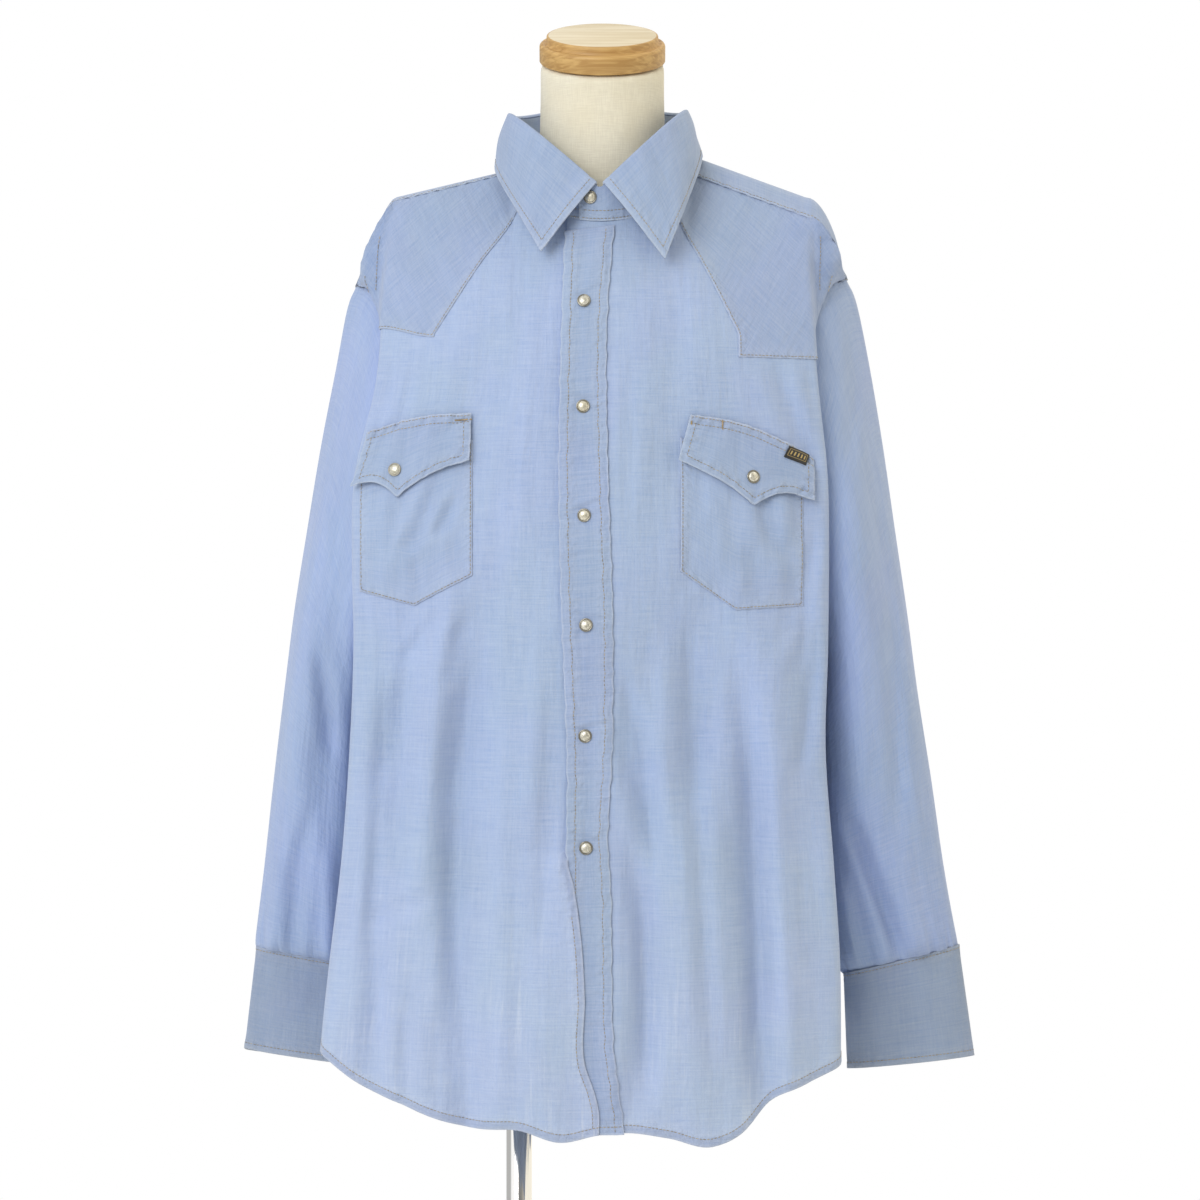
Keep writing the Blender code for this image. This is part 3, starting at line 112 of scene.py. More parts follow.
class Tree:
    """The nodes of a material or of the world."""

    def __init__(self, owner):
        owner.use_nodes = True
        self.owner, self.nodes, self.links = owner, owner.node_tree.nodes, owner.node_tree.links

    def node(self, kind, inputs=None, output=0, **settings):
        """One node: its settings first, then the values or links of its sockets."""
        made = self.nodes.new(kind)
        for name, value in settings.items():
            setattr(made, name, value)
        self.feed(made, inputs or {})
        return Value(self, made.outputs[output])

    def feed(self, node, inputs):
        for place, value in inputs.items():
            if isinstance(value, Value):
                self.links.new(value.socket, node.inputs[place])
            else:
                node.inputs[place].default_value = value

    def parts(self, vector):
        """A vector's three numbers."""
        split = self.node("ShaderNodeSeparateXYZ", {0: vector}).socket.node
        return [Value(self, socket) for socket in split.outputs]

    def own_place(self):
        return self.node("ShaderNodeTexCoord", output="Object")

    def noise(self, at, scale=1.0, **more):
        return self.node("ShaderNodeTexNoise", {"Vector": at, "Scale": scale, **more})

    def streaks(self, at, *scales, **more):
        """Noise drawn out by its own scale along each axis."""
        return self.noise(self.node("ShaderNodeVectorMath", {0: at, 1: scales}, operation="MULTIPLY"), **more)

    def mix(self, share, first, second, **settings):
        """A colour between two others."""
        return self.node("ShaderNodeMix", {0: share, 6: first, 7: second}, 2, data_type="RGBA", **settings)

    def bump(self, height, strength, distance, **more):
        return self.node("ShaderNodeBump",
                         {"Height": height, "Strength": strength, "Distance": distance, **more})

    def finish(self, **inputs):
        """The material, with its shader's sockets fed."""
        self.feed(self.nodes["Principled BSDF"],
                  {name.replace("_", " "): value for name, value in inputs.items()})
        return self.owner


def new_material(name):
    return Tree(bpy.data.materials.new(name))


def meshed(builder, name):
    """A mesh of what the builder holds."""
    mesh = bpy.data.meshes.new(name)
    builder.to_mesh(mesh)
    builder.free()
    return mesh


floor_builder = bmesh.new()
bmesh.ops.create_circle(floor_builder, cap_ends=True, segments=128, radius=FLOOR_RADIUS)
floor_mesh = meshed(floor_builder, "floor")
floor_mesh.transform(Matrix.Translation((0, 0, -FLOOR_DROP)))
floor_paint = new_material("floor_paint").finish(Base_Color=(0.80, 0.80, 0.79, 1), Roughness=0.85)
floor_mesh.materials.append(floor_paint)
floor = placed("floor", floor_mesh)

lamp = placed("lamp", bpy.data.lights.new("lamp", "AREA"))
lamp.data.size = LAMP_SIZE
lamp.data.energy = LAMP_POWER
lamp.location = LAMP_AT
lamp.rotation_euler = (Vector(LAMP_AIM) - Vector(LAMP_AT)).to_track_quat("-Z", "Y").to_euler()

world = bpy.data.worlds.new("studio")
bpy.context.scene.world = world
air = Tree(world)
air_x, air_y, air_z = air.parts(air.node("ShaderNodeTexCoord", output="Generated"))
bearing = air_x.maths("ARCTAN2", air_y * -1)
on_walls = air_z.within(*WALL_HEIGHTS)
air_light = (AIR_DIFFUSE + AIR_TOP * air_z.rise(*CEILING) + AIR_RIGHT * bearing.rise(*RIGHT_WALL)
             + AIR_LEFT * bearing.within(*LEFT_WINDOW) * on_walls
             - AIR_BEHIND_VIEWER * bearing.within(*VIEWER_SIDE) * on_walls)
seen = air.node("ShaderNodeLightPath", output="Is Camera Ray")
air_colour = air.mix((1 - seen) * bearing.rise(*WARM_SIDE), AIR_COOL, AIR_WARM)
seen_colour = air.mix(seen, air_colour, (1, 1, 1, 1))
air.feed(air.nodes["Background"], {0: seen_colour, 1: seen + (1 - seen) * air_light})


# ---- The stand: a round steel plate and the polished steel tube that carries the form.  Both are turned,
# and the tube is seated in the plate.
POLE_AT, POLE_RADIUS, POLE_EDGE = (-0.068, 0.005), 0.0107, 0.0005
PLATE_RADIUS, PLATE_THICKNESS, PLATE_ROUNDING, PLATE_EDGE = 0.170, 0.012, 0.003, 0.001
SHARP = math.radians(50)      # turned edges steeper than this stay crisp


def add_piece(name, mesh, finish, slot, *nodes):
    """A finished mesh as a piece that rides with the shirt and stands for CAD nodes."""
    mesh.materials.append(finish)
    made = placed(name, mesh)
    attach(made, "root")
    if nodes:
        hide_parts(*nodes)
    return made


def smooth(mesh):
    mesh.shade_smooth()
    mesh.set_sharp_from_angle(angle=SHARP)
    return mesh


def turned(profile, steps=64, place=Matrix()):
    """A closed solid turned round Z from (radius, height) points that start and end on the axis."""
    builder = bmesh.new()
    points = [builder.verts.new((radius, 0, height)) for radius, height in profile]
    rim = [builder.edges.new(pair) for pair in zip(points, points[1:])]
    bmesh.ops.spin(builder, geom=points + rim, axis=(0, 0, 1), cent=(0, 0, 0), steps=steps,
                   angle=2 * math.pi, use_merge=True)
    bmesh.ops.remove_doubles(builder, verts=builder.verts, dist=1e-6)
    bmesh.ops.recalc_face_normals(builder, faces=builder.faces)
    bmesh.ops.transform(builder, matrix=place, verts=builder.verts)
    return smooth(meshed(builder, "turned"))


def arc_points(centre, reach, start, end, steps):
    """Points of a profile on an arc about a radius and a height, with its own reach each way."""
    return [(centre[0] + reach[0] * math.cos(a), centre[1] + reach[1] * math.sin(a))
            for a in np.linspace(start, end, steps)]


def polished_steel():
    """Polished steel with faint marks of handling: the polish runs round the tube."""
    tree = new_material("polished_steel")
    place = tree.own_place()
    polish = tree.streaks(place, 30, 30, 900, Detail=3.0)
    smudge = tree.noise(place, 22.0, Detail=4.0)
    return tree.finish(Base_Color=(0.80, 0.785, 0.76, 1), Metallic=1.0,
                       Roughness=0.05 + 0.05 * polish + 0.16 * smudge.rise(0.45, 0.8),
                       Normal=tree.bump(polish, 0.05, 0.0002))


steel = polished_steel()
stand_place = Matrix.Translation((*POLE_AT, 0))
plate_rim = arc_points((PLATE_RADIUS - PLATE_ROUNDING, PLATE_THICKNESS - PLATE_ROUNDING),
                       (PLATE_ROUNDING,) * 2, math.pi / 2, 0, 6)
plate = turned([(0, PLATE_THICKNESS), *plate_rim, (PLATE_RADIUS, PLATE_EDGE),
                (PLATE_RADIUS - PLATE_EDGE, 0), (0, 0)], 160, stand_place)
add_piece("stand_plate", plate, steel, "chrome", "form_base")
pole_foot, pole_top = (corner[2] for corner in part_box("form_pole"))
pole = turned([(0, pole_top), (POLE_RADIUS - POLE_EDGE, pole_top), (POLE_RADIUS, pole_top - POLE_EDGE),
               (POLE_RADIUS, pole_foot), (0, pole_foot)], 72, stand_place)
add_piece("stand_pole", pole, steel, "chrome", "form_pole")


# ---- The dress form: a padded torso with short shoulders and a neck, covered in off-white linen.  Its
# neck is closed by a turned wooden cap with a bead round its side and a bare top.
NECK_CENTRE = (0.002, -0.012)
FORM_EASE = 0.0016        # the form stands this much under its solid where the shirt covers it
LINEN_VOXEL = 0.0045
CAP_TILT, CAP_HALF, CAP_RADIUS, CAP_TOP = math.radians(20), 0.0115, 0.0525, 0.0228
NECK_RADIUS = 0.055


def linen():
    """Unbleached linen: flecked threads both ways, on a warm off-white."""
    tree = new_material("linen")
    place = tree.own_place()
    x, y, z = tree.parts(place)
    round_neck = (y - NECK_CENTRE[1]).maths("ARCTAN2", x - NECK_CENTRE[0]) * NECK_RADIUS

    def threads(around, upward):
        at = tree.node("ShaderNodeCombineXYZ", {0: round_neck * around, 1: z * upward, 2: y * 20})
        return tree.noise(at)

    weave = threads(1500, 90) * 0.5 + threads(90, 1500) * 0.5
    cloud = tree.noise(place, 26.0, Detail=3.0)
    pale = tree.mix(weave.rise(0.36, 0.66), (0.705, 0.655, 0.525, 1), (0.795, 0.748, 0.605, 1))
    toned = tree.mix(cloud.rise(0.35, 0.75) * 0.35, pale, (0.700, 0.620, 0.440, 1))
    return tree.finish(Base_Color=toned, Roughness=0.9, Sheen_Weight=0.2,
                       Normal=tree.bump(weave, 0.8, 0.0006))


def merge_doubles(mesh, distance):
    builder = bmesh.new()
    builder.from_mesh(mesh)
    bmesh.ops.remove_doubles(builder, verts=builder.verts, dist=distance)
    builder.to_mesh(mesh)
    builder.free()


def modify(made, name, kind, **settings):
    modifier = made.modifiers.new(name, kind)
    for setting, value in settings.items():
        setattr(modifier, setting, value)


form_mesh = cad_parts["form_torso"].data.copy()
form_mesh.materials.clear()
merge_doubles(form_mesh, 1e-5)
form = add_piece("dress_form", form_mesh, linen(), "linen", "form_torso")
modify(form, "pad", "REMESH", mode="VOXEL", voxel_size=LINEN_VOXEL, use_smooth_shade=True)
modify(form, "soften", "SMOOTH", factor=0.5, iterations=8)
modify(form, "under_shirt", "DISPLACE", strength=-FORM_EASE, mid_level=0.0)


def turned_wood(name, dark, pale, roughness):
    """Oiled or bare wood, with its grain running across the turning."""
    tree = new_material(name)
    grain = tree.streaks(tree.own_place(), 14, 150, 420, Detail=5.0, Distortion=0.6)
    return tree.finish(Base_Color=tree.mix(grain.rise(0.3, 0.72), dark, pale),
                       Roughness=roughness + 0.12 * grain, Normal=tree.bump(grain, 0.25, 0.0003))


cap_low, cap_high = (Vector(corner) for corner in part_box("form_neck_cap"))
cap_middle = (cap_low + cap_high) / 2
cap_place = (Matrix.Translation((NECK_CENTRE[0], cap_middle.y, cap_middle.z))
             @ Matrix.Rotation(CAP_TILT, 4, "X") @ Matrix.Translation((0, 0, -CAP_HALF)))
cap_outline = [(0, 0), (CAP_RADIUS - 0.0005, 0.0002), (CAP_RADIUS, 0.0010), (CAP_RADIUS, 0.0125),
               *arc_points((0.0498, 0.0128), (0.0027, 0.0030), 0, math.pi * 0.62, 9),
               (0.0476, 0.0156), (0.0468, 0.0166), (0.0466, 0.0180), (0.0466, 0.0212),
               (0.0463, 0.0220), (0.0456, 0.0225), (0.0440, 0.0224), (0, 0.0222)]
add_piece("neck_cap", turned(cap_outline[::-1], 128, cap_place),
          turned_wood("honey_wood", (0.420, 0.230, 0.065, 1), (0.620, 0.390, 0.140, 1), 0.42),
          "wood", "form_neck_cap")
cap_top = turned([(0, CAP_TOP), (0.0445, CAP_TOP), (0.0452, 0.0224), (0, 0.0223)], 96, cap_place)
add_piece("neck_cap_top", cap_top,
          turned_wood("bare_wood", (0.640, 0.540, 0.370, 1), (0.760, 0.680, 0.520, 1), 0.7), "wood")


# ---- The fronts: two panels of washed chambray, from neckline and shoulder to a curved hem.  The left one
# laps over the right, whose free edge slips out over the band below the last snap.
RIGHT, LEFT = -1, 1      # the wearer's sides, which are also the signs of X
SIDES = {RIGHT: "right", LEFT: "left"}      # on a front, a piece's inner edge also goes by its side's name
OUTER = {RIGHT: "left", LEFT: "right"}      # and its outer edge by this one
PLY = 0.0008             # the chambray's wall
RIDGE_AT, RIDGE_ROUNDING = 0.8, 0.018
CHEST_ROLL, CHEST_CURVE = 0.21, 2.4
NECK_HALF, NECK_SIDE_Y, NECK_SIDE_Z = 0.072, -0.012, 1.378
NECK_FRONT, NECK_BACK = (-0.080, 1.333), (0.062, 1.392)
SHOULDER = {
    RIGHT: {"tip": (0.171, -0.016, 1.3535), "drop": (0.2050, 0.000, 1.284), "pit": (0.197, 0.005, 1.030),
            "rise": 0.008, "droop": 1.15},
    LEFT: {"tip": (0.172, -0.030, 1.3390), "drop": (0.2075, 0.000, 1.289), "pit": (0.190, 0.005, 1.030),
           "rise": 0.033, "droop": 1.90},
}
ARMHOLE_FRONT, ARMHOLE_BACK = 0.062, 0.080
ARMHOLE_INSET = {"front": 0.038, "back": 0.009}     # how far the branches bow towards the body
ARMHOLE_SQUARE = 0.8      # under 1, the front branch leaves the shoulder's drop more level
ARMHOLE_EARLY, ARMHOLE_CLOSE = 0.030, 9      # how the cloth near the armhole comes to its edge


def columns(names, *rows):
    """A table's columns by name.  Its rows are in thousandths: of a metre, or of a share."""
    return dict(zip(names.split(), np.array(rows).T / 1000))


BODY = columns(
    "height front ridge_depth ridge_right ridge_left back back_ridge_depth back_ridge",
    (560, 138, 100, 232, 198.5, 85, 55, 190),
    (650, 137, 100, 231, 199, 90, 62, 190),
    (720, 135, 98, 224, 198.5, 95, 68, 187),
    (800, 132, 96, 214.5, 193.5, 100, 74, 183),
    (900, 130, 94, 207, 186.5, 105, 80, 179),
    (980, 130, 92, 204, 188.5, 110, 85, 178),
    (1050, 131, 92, 204.8, 189, 114, 88, 179),
    (1120, 131, 90, 203, 188, 118, 90, 180),
    (1200, 126, 86, 185, 180, 120, 88, 180),
    (1280, 119, 80, 179, 174.5, 116, 80, 176),
    (1355, 112, 74, 171, 172, 106, 62, 171),
)
SIDE_SEAM = columns(
    "height right left",
    (560, 182, 176),
    (700, 178, 173),
    (850, 175, 170),
    (960, 177, 172),
    (1010, 188, 182),
    (1030, 197, 190),
)
HEM = columns(
    "share right left back",
    (-200, 589, 589, 576),
    (0, 588.5, 589, 576),
    (140, 582.5, 589.5, 576),
    (280, 591.5, 585, 578),
    (460, 592.5, 577.5, 584),
    (580, 600, 588, 592),
    (700, 611, 613, 604),
    (840, 625, 626, 622),
    (1000, 650, 640, 648),
    (1250, 672, 668, 672),
)
HEM_DEPTH, FACING_DEPTH = 0.0065, 0.0055
BAND = columns(
    "height free_edge sewn_edge",
    (585, -20.5, 20),
    (656, -29, 11.3),
    (737, -30, 9.7),
    (792, -27, 8.5),
    (818, -27.5, 6.5),
    (875, -26.9, 8.9),
    (1020, -31.5, 10.1),
    (1117, -33.5, 7),
    (1262, -30.7, 6.5),
    (1330, -28.3, 12.1),
)
UNDERLAP = columns(
    "height free_edge",
    (585, -0.8),
    (608, -1),
    (624, -4.8),
    (642, -11.3),
    (700, -12.3),
    (748, -15.4),
    (781, -19.9),
    (795, -22.6),
    (803, -25.2),
    (811.5, -25.7),
    (817, -23.5),
    (823, -10),
    (832, 2),
    (870, 5),
    (1100, 6),
    (1340, 4),
)
FLIP_HEIGHT, FLIP_RAMP, FLIP_OUT = 0.813, 0.008, 0.0046
LAP_OUT = 0.0019
# Creases: from one place to another, how far the middle bows aside, the half width, and the depth inwards
CREASE = "x_top z_top x_foot z_foot bow half_width depth"
FRONT_CREASES = columns(
    CREASE,
    (82, 1050, 84, 860, 3, 17, 8),
    (-123, 1060, -130, 860, 0, 15, -6),
    (50, 1060, 62, 800, 4, 30, 9),
    (-95, 1020, -88, 760, 0, 22, 4),
    (160, 1130, 172, 900, -4, 10, 5),
    (-98, 1060, -98, 470, -16, 13, 9),
    (-153, 1030, -192, 560, 0, 12, 7),
    (-158, 965, -181, 860, 0, 10, 2.6),
    (-133, 1000, -146, 740, 0, 12, -4.1),
    (-168, 850, -170, 620, 0, 8, -4.1),
    (-62, 1040, -60, 520, 0, 30, -5.4),
    (-200, 752, -130, 783, 0, 8, 1.9),
    (-160, 700, -158, 590, 0, 6, 2.4),
    (-136, 690, -133, 600, 0, 6, 1.9),
    (-118, 710, -112, 610, 0, 6, -1.9),
    (-163, 1110, -163, 1050, 0, 10, 2.7),
    (-80, 1280, -92, 1060, -6, 18, 2.2),
    (10, 950, 54, 780, 2, 10, 7.4),
    (17, 860, 19, 570, 19, 12, 8.8),
    (52, 1020, 86, 540, 0, 18, -5.7),
    (101, 1060, 140, 500, 3, 13, 10.8),
    (142, 1010, 158, 560, 0, 13, -4.9),
    (138, 1222, 178, 1120, 0, 9, 4.9),
    (74, 1140, 96, 1000, 0, 12, 3.5),
    (72, 1080, 72, 1020, 0, 8, 2.2),
    (143, 1120, 166, 1020, 0, 12, -3),
    (60, 1290, 50, 1080, 6, 17, 2.2),
    (-176, 1000, -192, 700, 2, 6, 3),
    (-120, 960, -112, 640, -4, 9, 3.6),
    (-80, 900, -83, 560, 3, 8, -3),
    (-40, 980, -52, 700, 3, 8, 2.8),
    (-150, 1215, -168, 1150, 0, 6, 2.2),
    (-105, 1170, -140, 1150, 2, 6, 1.4),
    (170, 1050, 150, 960, 3, 7, -3.4),
    (176, 1090, 165, 990, 0, 6, 3.4),
    (122, 960, 128, 620, 4, 8, 3.4),
    (76, 930, 92, 620, -2, 7, 3.2),
    (34, 800, 40, 600, 0, 6, 3),
    (168, 1215, 190, 1130, 0, 6, 3),
    (24, 1230, 20, 1080, 2, 6, 1.4),
    (70, 1010, 81, 850, 0, 8, 5),
    (50, 1000, 55, 800, 0, 8, -3.6),
    (14, 970, 48, 860, 0, 6, 4.2),
    (98, 1000, 112, 820, 2, 9, -3.6),
    (178, 1000, 158, 860, 3, 6, 3.6),
    (-126, 1016, -162, 965, 0, 6, 2.6),
    (-108, 1014, -128, 940, 0, 7, 2.6),
)
FOLD_HEIGHT, GROOVE_WIDTH = 0.0003, 0.0011     # a turned edge over the rest, and its stitching's groove
PUCKER_WIDTH, PUCKER_LENGTH = 0.006, 0.0085
PRESSED_IN, PRESSED_WIDTH = 0.0008, 0.0007
SHORT_OF_EDGE = 0.9998       # the largest share of a width that a panel is drawn to
SHARE_WIDTH = 0.285          # a share's width on the cloth


def blend(a, b, t):
    return a + (b - a) * t


def ease(value, low, high):
    """0 below low, 1 above high, and smooth between them."""
    t = np.clip((value - low) / (high - low), 0.0, 1.0)
    return t * t * (3 - 2 * t)


def curve(at, stations, values):
    """A smooth curve through values at their stations, level past its ends."""
    slopes = np.gradient(values, stations)
    i = np.clip(np.searchsorted(stations, at) - 1, 0, len(stations) - 2)
    gap = stations[i + 1] - stations[i]
    t = np.clip((at - stations[i]) / gap, 0.0, 1.0)
    return ((2 * t**3 - 3 * t**2 + 1) * values[i] + (t**3 - 2 * t**2 + t) * gap * slopes[i]
            + (3 * t**2 - 2 * t**3) * values[i + 1] + (t**3 - t**2) * gap * slopes[i + 1])


def look_up(table, name, at):
    """A table's column, as a smooth curve along its first one."""
    return curve(at, next(iter(table.values())), table[name])


def wave(at, length, phase):
    """An uneven wave of about a given length."""
    turn = 2 * math.pi * at / length + phase
    return (np.sin(turn) + 0.7 * np.sin(0.61 * turn + 1.3 * phase) + 0.5 * np.sin(1.71 * turn + 2.1)) / 2.2


def creases(table, x, z):
    """How far a table's creases push a place in: a trough, with a low roll on each side of it."""
    push = np.zeros(np.broadcast(x, z).shape)
    for x_top, z_top, x_foot, z_foot, bow, half_width, depth in zip(*table.values()):
        run, rise = x_foot - x_top, z_foot - z_top
        length = math.hypot(run, rise)
        t = ((x - x_top) * run + (z - z_top) * rise) / length**2
        aside = ((z - z_top) * run - (x - x_top) * rise) / length - bow * 4 * t * (1 - t)
        strength = ease(t, 0, 0.30) * (1 - ease(t, 0.72, 1.0))
        d = np.abs(aside) / half_width
        push = push + depth * strength * (np.exp(-d**2) - 0.28 * np.exp(-(d - 1.9) ** 2))
    return push


def drift(x, z):
    """The slight unevenness of cloth that has been washed and worn."""
    return 0.0005 * (np.sin(41 * x + 9 * z) + np.sin(67 * x - 21 * z + 1.7) + np.sin(23 * x + 37 * z + 0.6))


def past_ridge(q):
    """How far a share of the width is past the ridge, from 0 to 1."""
    return np.clip((q - RIDGE_AT) / (1 - RIDGE_AT), 0, 1)


def turned_share(q):
    """A share's part on the face, and how far past the rounded ridge it is."""
    past = 1 - RIDGE_AT
    ramp = 0.5 * ((q - RIDGE_AT) + np.sqrt((q - RIDGE_AT) ** 2 + RIDGE_ROUNDING**2))
    beyond = ramp * past / (0.5 * (past + math.hypot(past, RIDGE_ROUNDING)))
    return (q - beyond) / RIDGE_AT, beyond / past


def top_line(side, share):
    """Y and height of the neckline and shoulder seam, at a share of the ridge's width."""
    tip = SHOULDER[side]["tip"]
    neck = NECK_HALF / tip[0]
    arc = np.sqrt(np.clip(1 - (np.abs(share) / neck) ** 2, 0, 1))
    along = np.clip((np.abs(share) - neck) / (1 - neck), 0, 1)
    return [np.where(np.abs(share) < neck, blend(beside, middle, arc), blend(beside, outer, along))
            for beside, middle, outer in zip((NECK_SIDE_Y, NECK_SIDE_Z), NECK_FRONT, tip[1:])]


def edge(side, height, branch, early=0.0):
    """The armhole's edge, and below it the side seam, on the front branch or the back one.

    An early edge starts that much higher and bends less: the cloth near the armhole follows that one.
    """
    tip, drop, pit = (SHOULDER[side][name] for name in ("tip", "drop", "pit"))
    depth = -ARMHOLE_FRONT if branch == "front" else ARMHOLE_BACK
    above = np.clip((height - drop[2]) / (tip[2] - drop[2]), 0, 1)
    w = np.clip((drop[2] + early - height) / (drop[2] + early - pit[2]), 0, 1)
    round_off = (2 * np.sqrt(w * (1 - w))) ** (1.6 if early else 1)
    bow = round_off ** (ARMHOLE_SQUARE if branch == "front" and not early else 2)
    x = blend(drop[0], pit[0], w) - ARMHOLE_INSET[branch] * bow
    y = blend(drop[1], pit[1], w) + (tip[1] - drop[1]) * above + depth * round_off
    seam = look_up(SIDE_SEAM, SIDES[side], height)
    return side * np.where(height < pit[2], seam, x), np.where(height < pit[2], pit[1], y)


def lap(side, x, z):
    """How far a front stands out beside the closure."""
    if side == LEFT:
        return LAP_OUT * (1 - ease(x, 0.028, 0.065))
    return FLIP_OUT * ease(-z, -FLIP_HEIGHT - FLIP_RAMP, -FLIP_HEIGHT + FLIP_RAMP) * ease(x, -0.080, -0.036)


def rounded(middle, ridge, share, z):
    """The body's depth at a share of the ridge's width."""
    return blend(look_up(BODY, ridge, z), look_up(BODY, middle, z),
                 np.cos(0.5 * math.pi * np.clip(np.abs(share), 0, 1)))


def front_face(side, share, z):
    """The front between its two ridges."""
    top_y, top_z = top_line(side, share)
    fall = 1 - (1 - np.clip((top_z - z) / CHEST_ROLL, 0, 1)) ** CHEST_CURVE
    x = side * share * look_up(BODY, "ridge_" + SIDES[side], z)
    soft = creases(FRONT_CREASES, x, z) + drift(x, z) * ease(top_z - z, 0.01, 0.08)
    return x, blend(top_y, -rounded("front", "ridge_depth", share, z), fall) + soft - lap(side, x, z)


def to_armhole(face, branch, side, q, z, folded=0.0):
    """Places on a face, carried on past its ridge to the armhole's edge; near the top it folds back early."""
    share, past = turned_share(q)
    x, y = face(side, share, z)
    ridge_x, ridge_y = face(side, np.ones_like(z), z)
    edge_x, edge_y = edge(side, z, branch)
    near_x, near_y = edge(side, z, branch, ARMHOLE_EARLY)
    aside = past * (1 - folded * (1 - past))
    back_turned = past * (1 + 0.8 * folded * (1 - past))
    close = past**ARMHOLE_CLOSE
    return np.stack((x + (near_x - ridge_x) * aside + (edge_x - near_x) * close,
                     y + (near_y - ridge_y) * back_turned + (edge_y - near_y) * close, z), -1)


def front(side, q, z):
    """A place on the front: q is a share of its width, 0 at the centre and 1 at the armhole."""
    return to_armhole(front_face, "front", side, q, z, ease(front_top(side, q) - z, 0.0, 0.05))


def front_top(side, q):
    """Height of the front's top edge: neckline, shoulder seam and dropped shoulder."""
    cut = SHOULDER[side]
    dropped = blend(cut["tip"][2], cut["drop"][2], past_ridge(q) ** cut["droop"])
    return np.where(q > RIDGE_AT, dropped, top_line(side, np.minimum(q / RIDGE_AT, 1))[1])


def hem_height(side, q, name=None):
    return look_up(HEM, name or SIDES[side], np.minimum(q / RIDGE_AT, 1) + 0.25 * past_ridge(q))


def share_of(side, x, z):
    """The share of width at which the front has a given X."""
    width = side / look_up(BODY, "ridge_" + SIDES[side], z) * RIDGE_AT
    q = x * width
    for _ in range(4):
        q = q - (front(side, q, z)[..., 0] - x) * width
    return q


def patch(side, u, v, inner, outer, top, foot):
    """Shares and heights between four edges, each a function of the way along it."""
    u, v = (u if side == LEFT else 1 - u)[:, None], v[:, None]
    zero, one = np.zeros((1, 1)), np.ones((1, 1))
    corners = ((1 - u) * (1 - v) * top(zero) + u * (1 - v) * top(one)
               + (1 - u) * v * foot(zero) + u * v * foot(one))
    return ((1 - v) * top(u) + v * foot(u) + (1 - u) * inner(v) + u * outer(v) - corners).T


def pairs(first, second):
    return np.concatenate(np.broadcast_arrays(first, second), -1)


def front_panel(side):
    """The front's shares and heights, from its free edge to the side and from the top to the hem."""
    heights = np.linspace(0.56, 1.345, 320)
    edge_x = (look_up(UNDERLAP, "free_edge", heights) if side == RIGHT
              else look_up(BAND, "free_edge", heights) + 0.0015)
    edge_q = share_of(side, edge_x, heights)
    top_q, foot_q = (np.interp(height, heights, edge_q) for height in (NECK_FRONT[1], HEM["right"][1]))
    top_z, foot_z = float(front_top(side, top_q)), float(hem_height(side, foot_q))
    drop, pit = (SHOULDER[side][name][2] for name in ("drop", "pit"))
    pit_at = (top_z - pit) / (top_z - foot_z)

    def free(t):
        z = blend(top_z, foot_z, t)
        return pairs(np.interp(z, heights, edge_q), z)

    def seam(t):
        return pairs(1.0, np.interp(t, (0, pit_at, 1), (drop, pit, float(hem_height(side, 1.0)))))

    def top(t):
        q = blend(top_q, 1.0, t)
        return pairs(q, front_top(side, q))

    def foot(t):
        q = blend(foot_q, 1.0, t)
        return pairs(q, hem_height(side, q))

    def at(u, v):
        q, z = patch(side, u, v, free, seam, top, foot)
        q = np.minimum(q, SHORT_OF_EDGE)
        return q, np.minimum(z, front_top(side, q) - 0.0002)

    return at


def tinted(colour, share):
    return (*(share * part for part in colour[:3]), 1)


def chambray(name, warp, weft, doubled):
    """Washed chambray: a coloured warp and white weft with slubs both ways, darker where it is doubled, with
    painted light and painted shade from a point attribute.
    """
    tree = new_material(name)
    at = tree.node("ShaderNodeUVMap", uv_map="cloth")
    ply, seam, fold, painted_light_and_shade = (tree.node("ShaderNodeAttribute", attribute_name=label, output="Fac")
                             for label in ("ply", "seam", "edge", "painted_light_and_shade"))

    def streaks(across, along, detail=2.0):
        return tree.streaks(at, across, along, 1, Detail=detail)

    slubs = streaks(760, 34) * 0.38 + streaks(34, 760) * 0.62 - 0.5
    knots = streaks(900, 60).rise(0.68, 0.84) + streaks(60, 900).rise(0.68, 0.84)
    threads = streaks(2600, 260) * 0.5 + streaks(260, 2600) * 0.5 - 0.5
    wash = streaks(13, 9, 4.0).rise(0.3, 0.7) * 0.5 + streaks(70, 9, 3.0).rise(0.35, 0.7) * 0.5
    patches = streaks(16, 8).rise(0.42, 0.64)
    # painted light: where the attribute is over 0 the cloth is paler, in streaks, as if light shone through
    # one ply; under 0, painted shade darkens it
    light_through_and_shade = painted_light_and_shade * (0.08 + 0.34 * streaks(300, 14, 3.0).rise(0.50, 0.80) * patches)
    pale = 0.18 + slubs * 0.66 + knots * 0.09 + threads * 0.40 + seam * 0.08 + fold * 0.34 + light_through_and_shade
    woven = tree.mix(pale, tree.mix(wash, warp, tinted(warp, 1.12)), weft, clamp_factor=True)
    cast = tree.mix(streaks(9, 7, 3.0).rise(0.35, 0.65), (1.0, 0.99, 1.012, 1), (0.99, 1.0, 0.972, 1))
    uneven = tree.mix(1.0, woven, cast, blend_type="MULTIPLY")
    layered = tree.mix(ply * 0.9, uneven, doubled, blend_type="MULTIPLY")
    crinkle = (streaks(170, 170, 3.0) * (0.35 + 1.5 * seam) + streaks(46, 60) * 0.8
               + streaks(120, 15, 3.0) * 0.9)
    fine = tree.bump(threads + 0.9 * slubs, 0.5, 0.0004)
    return tree.finish(Base_Color=layered, Roughness=0.88, Sheen_Weight=0.25, Sheen_Roughness=0.6,
                       Specular_IOR_Level=0.25, Normal=tree.bump(crinkle, 0.7, 0.0018, Normal=fine))


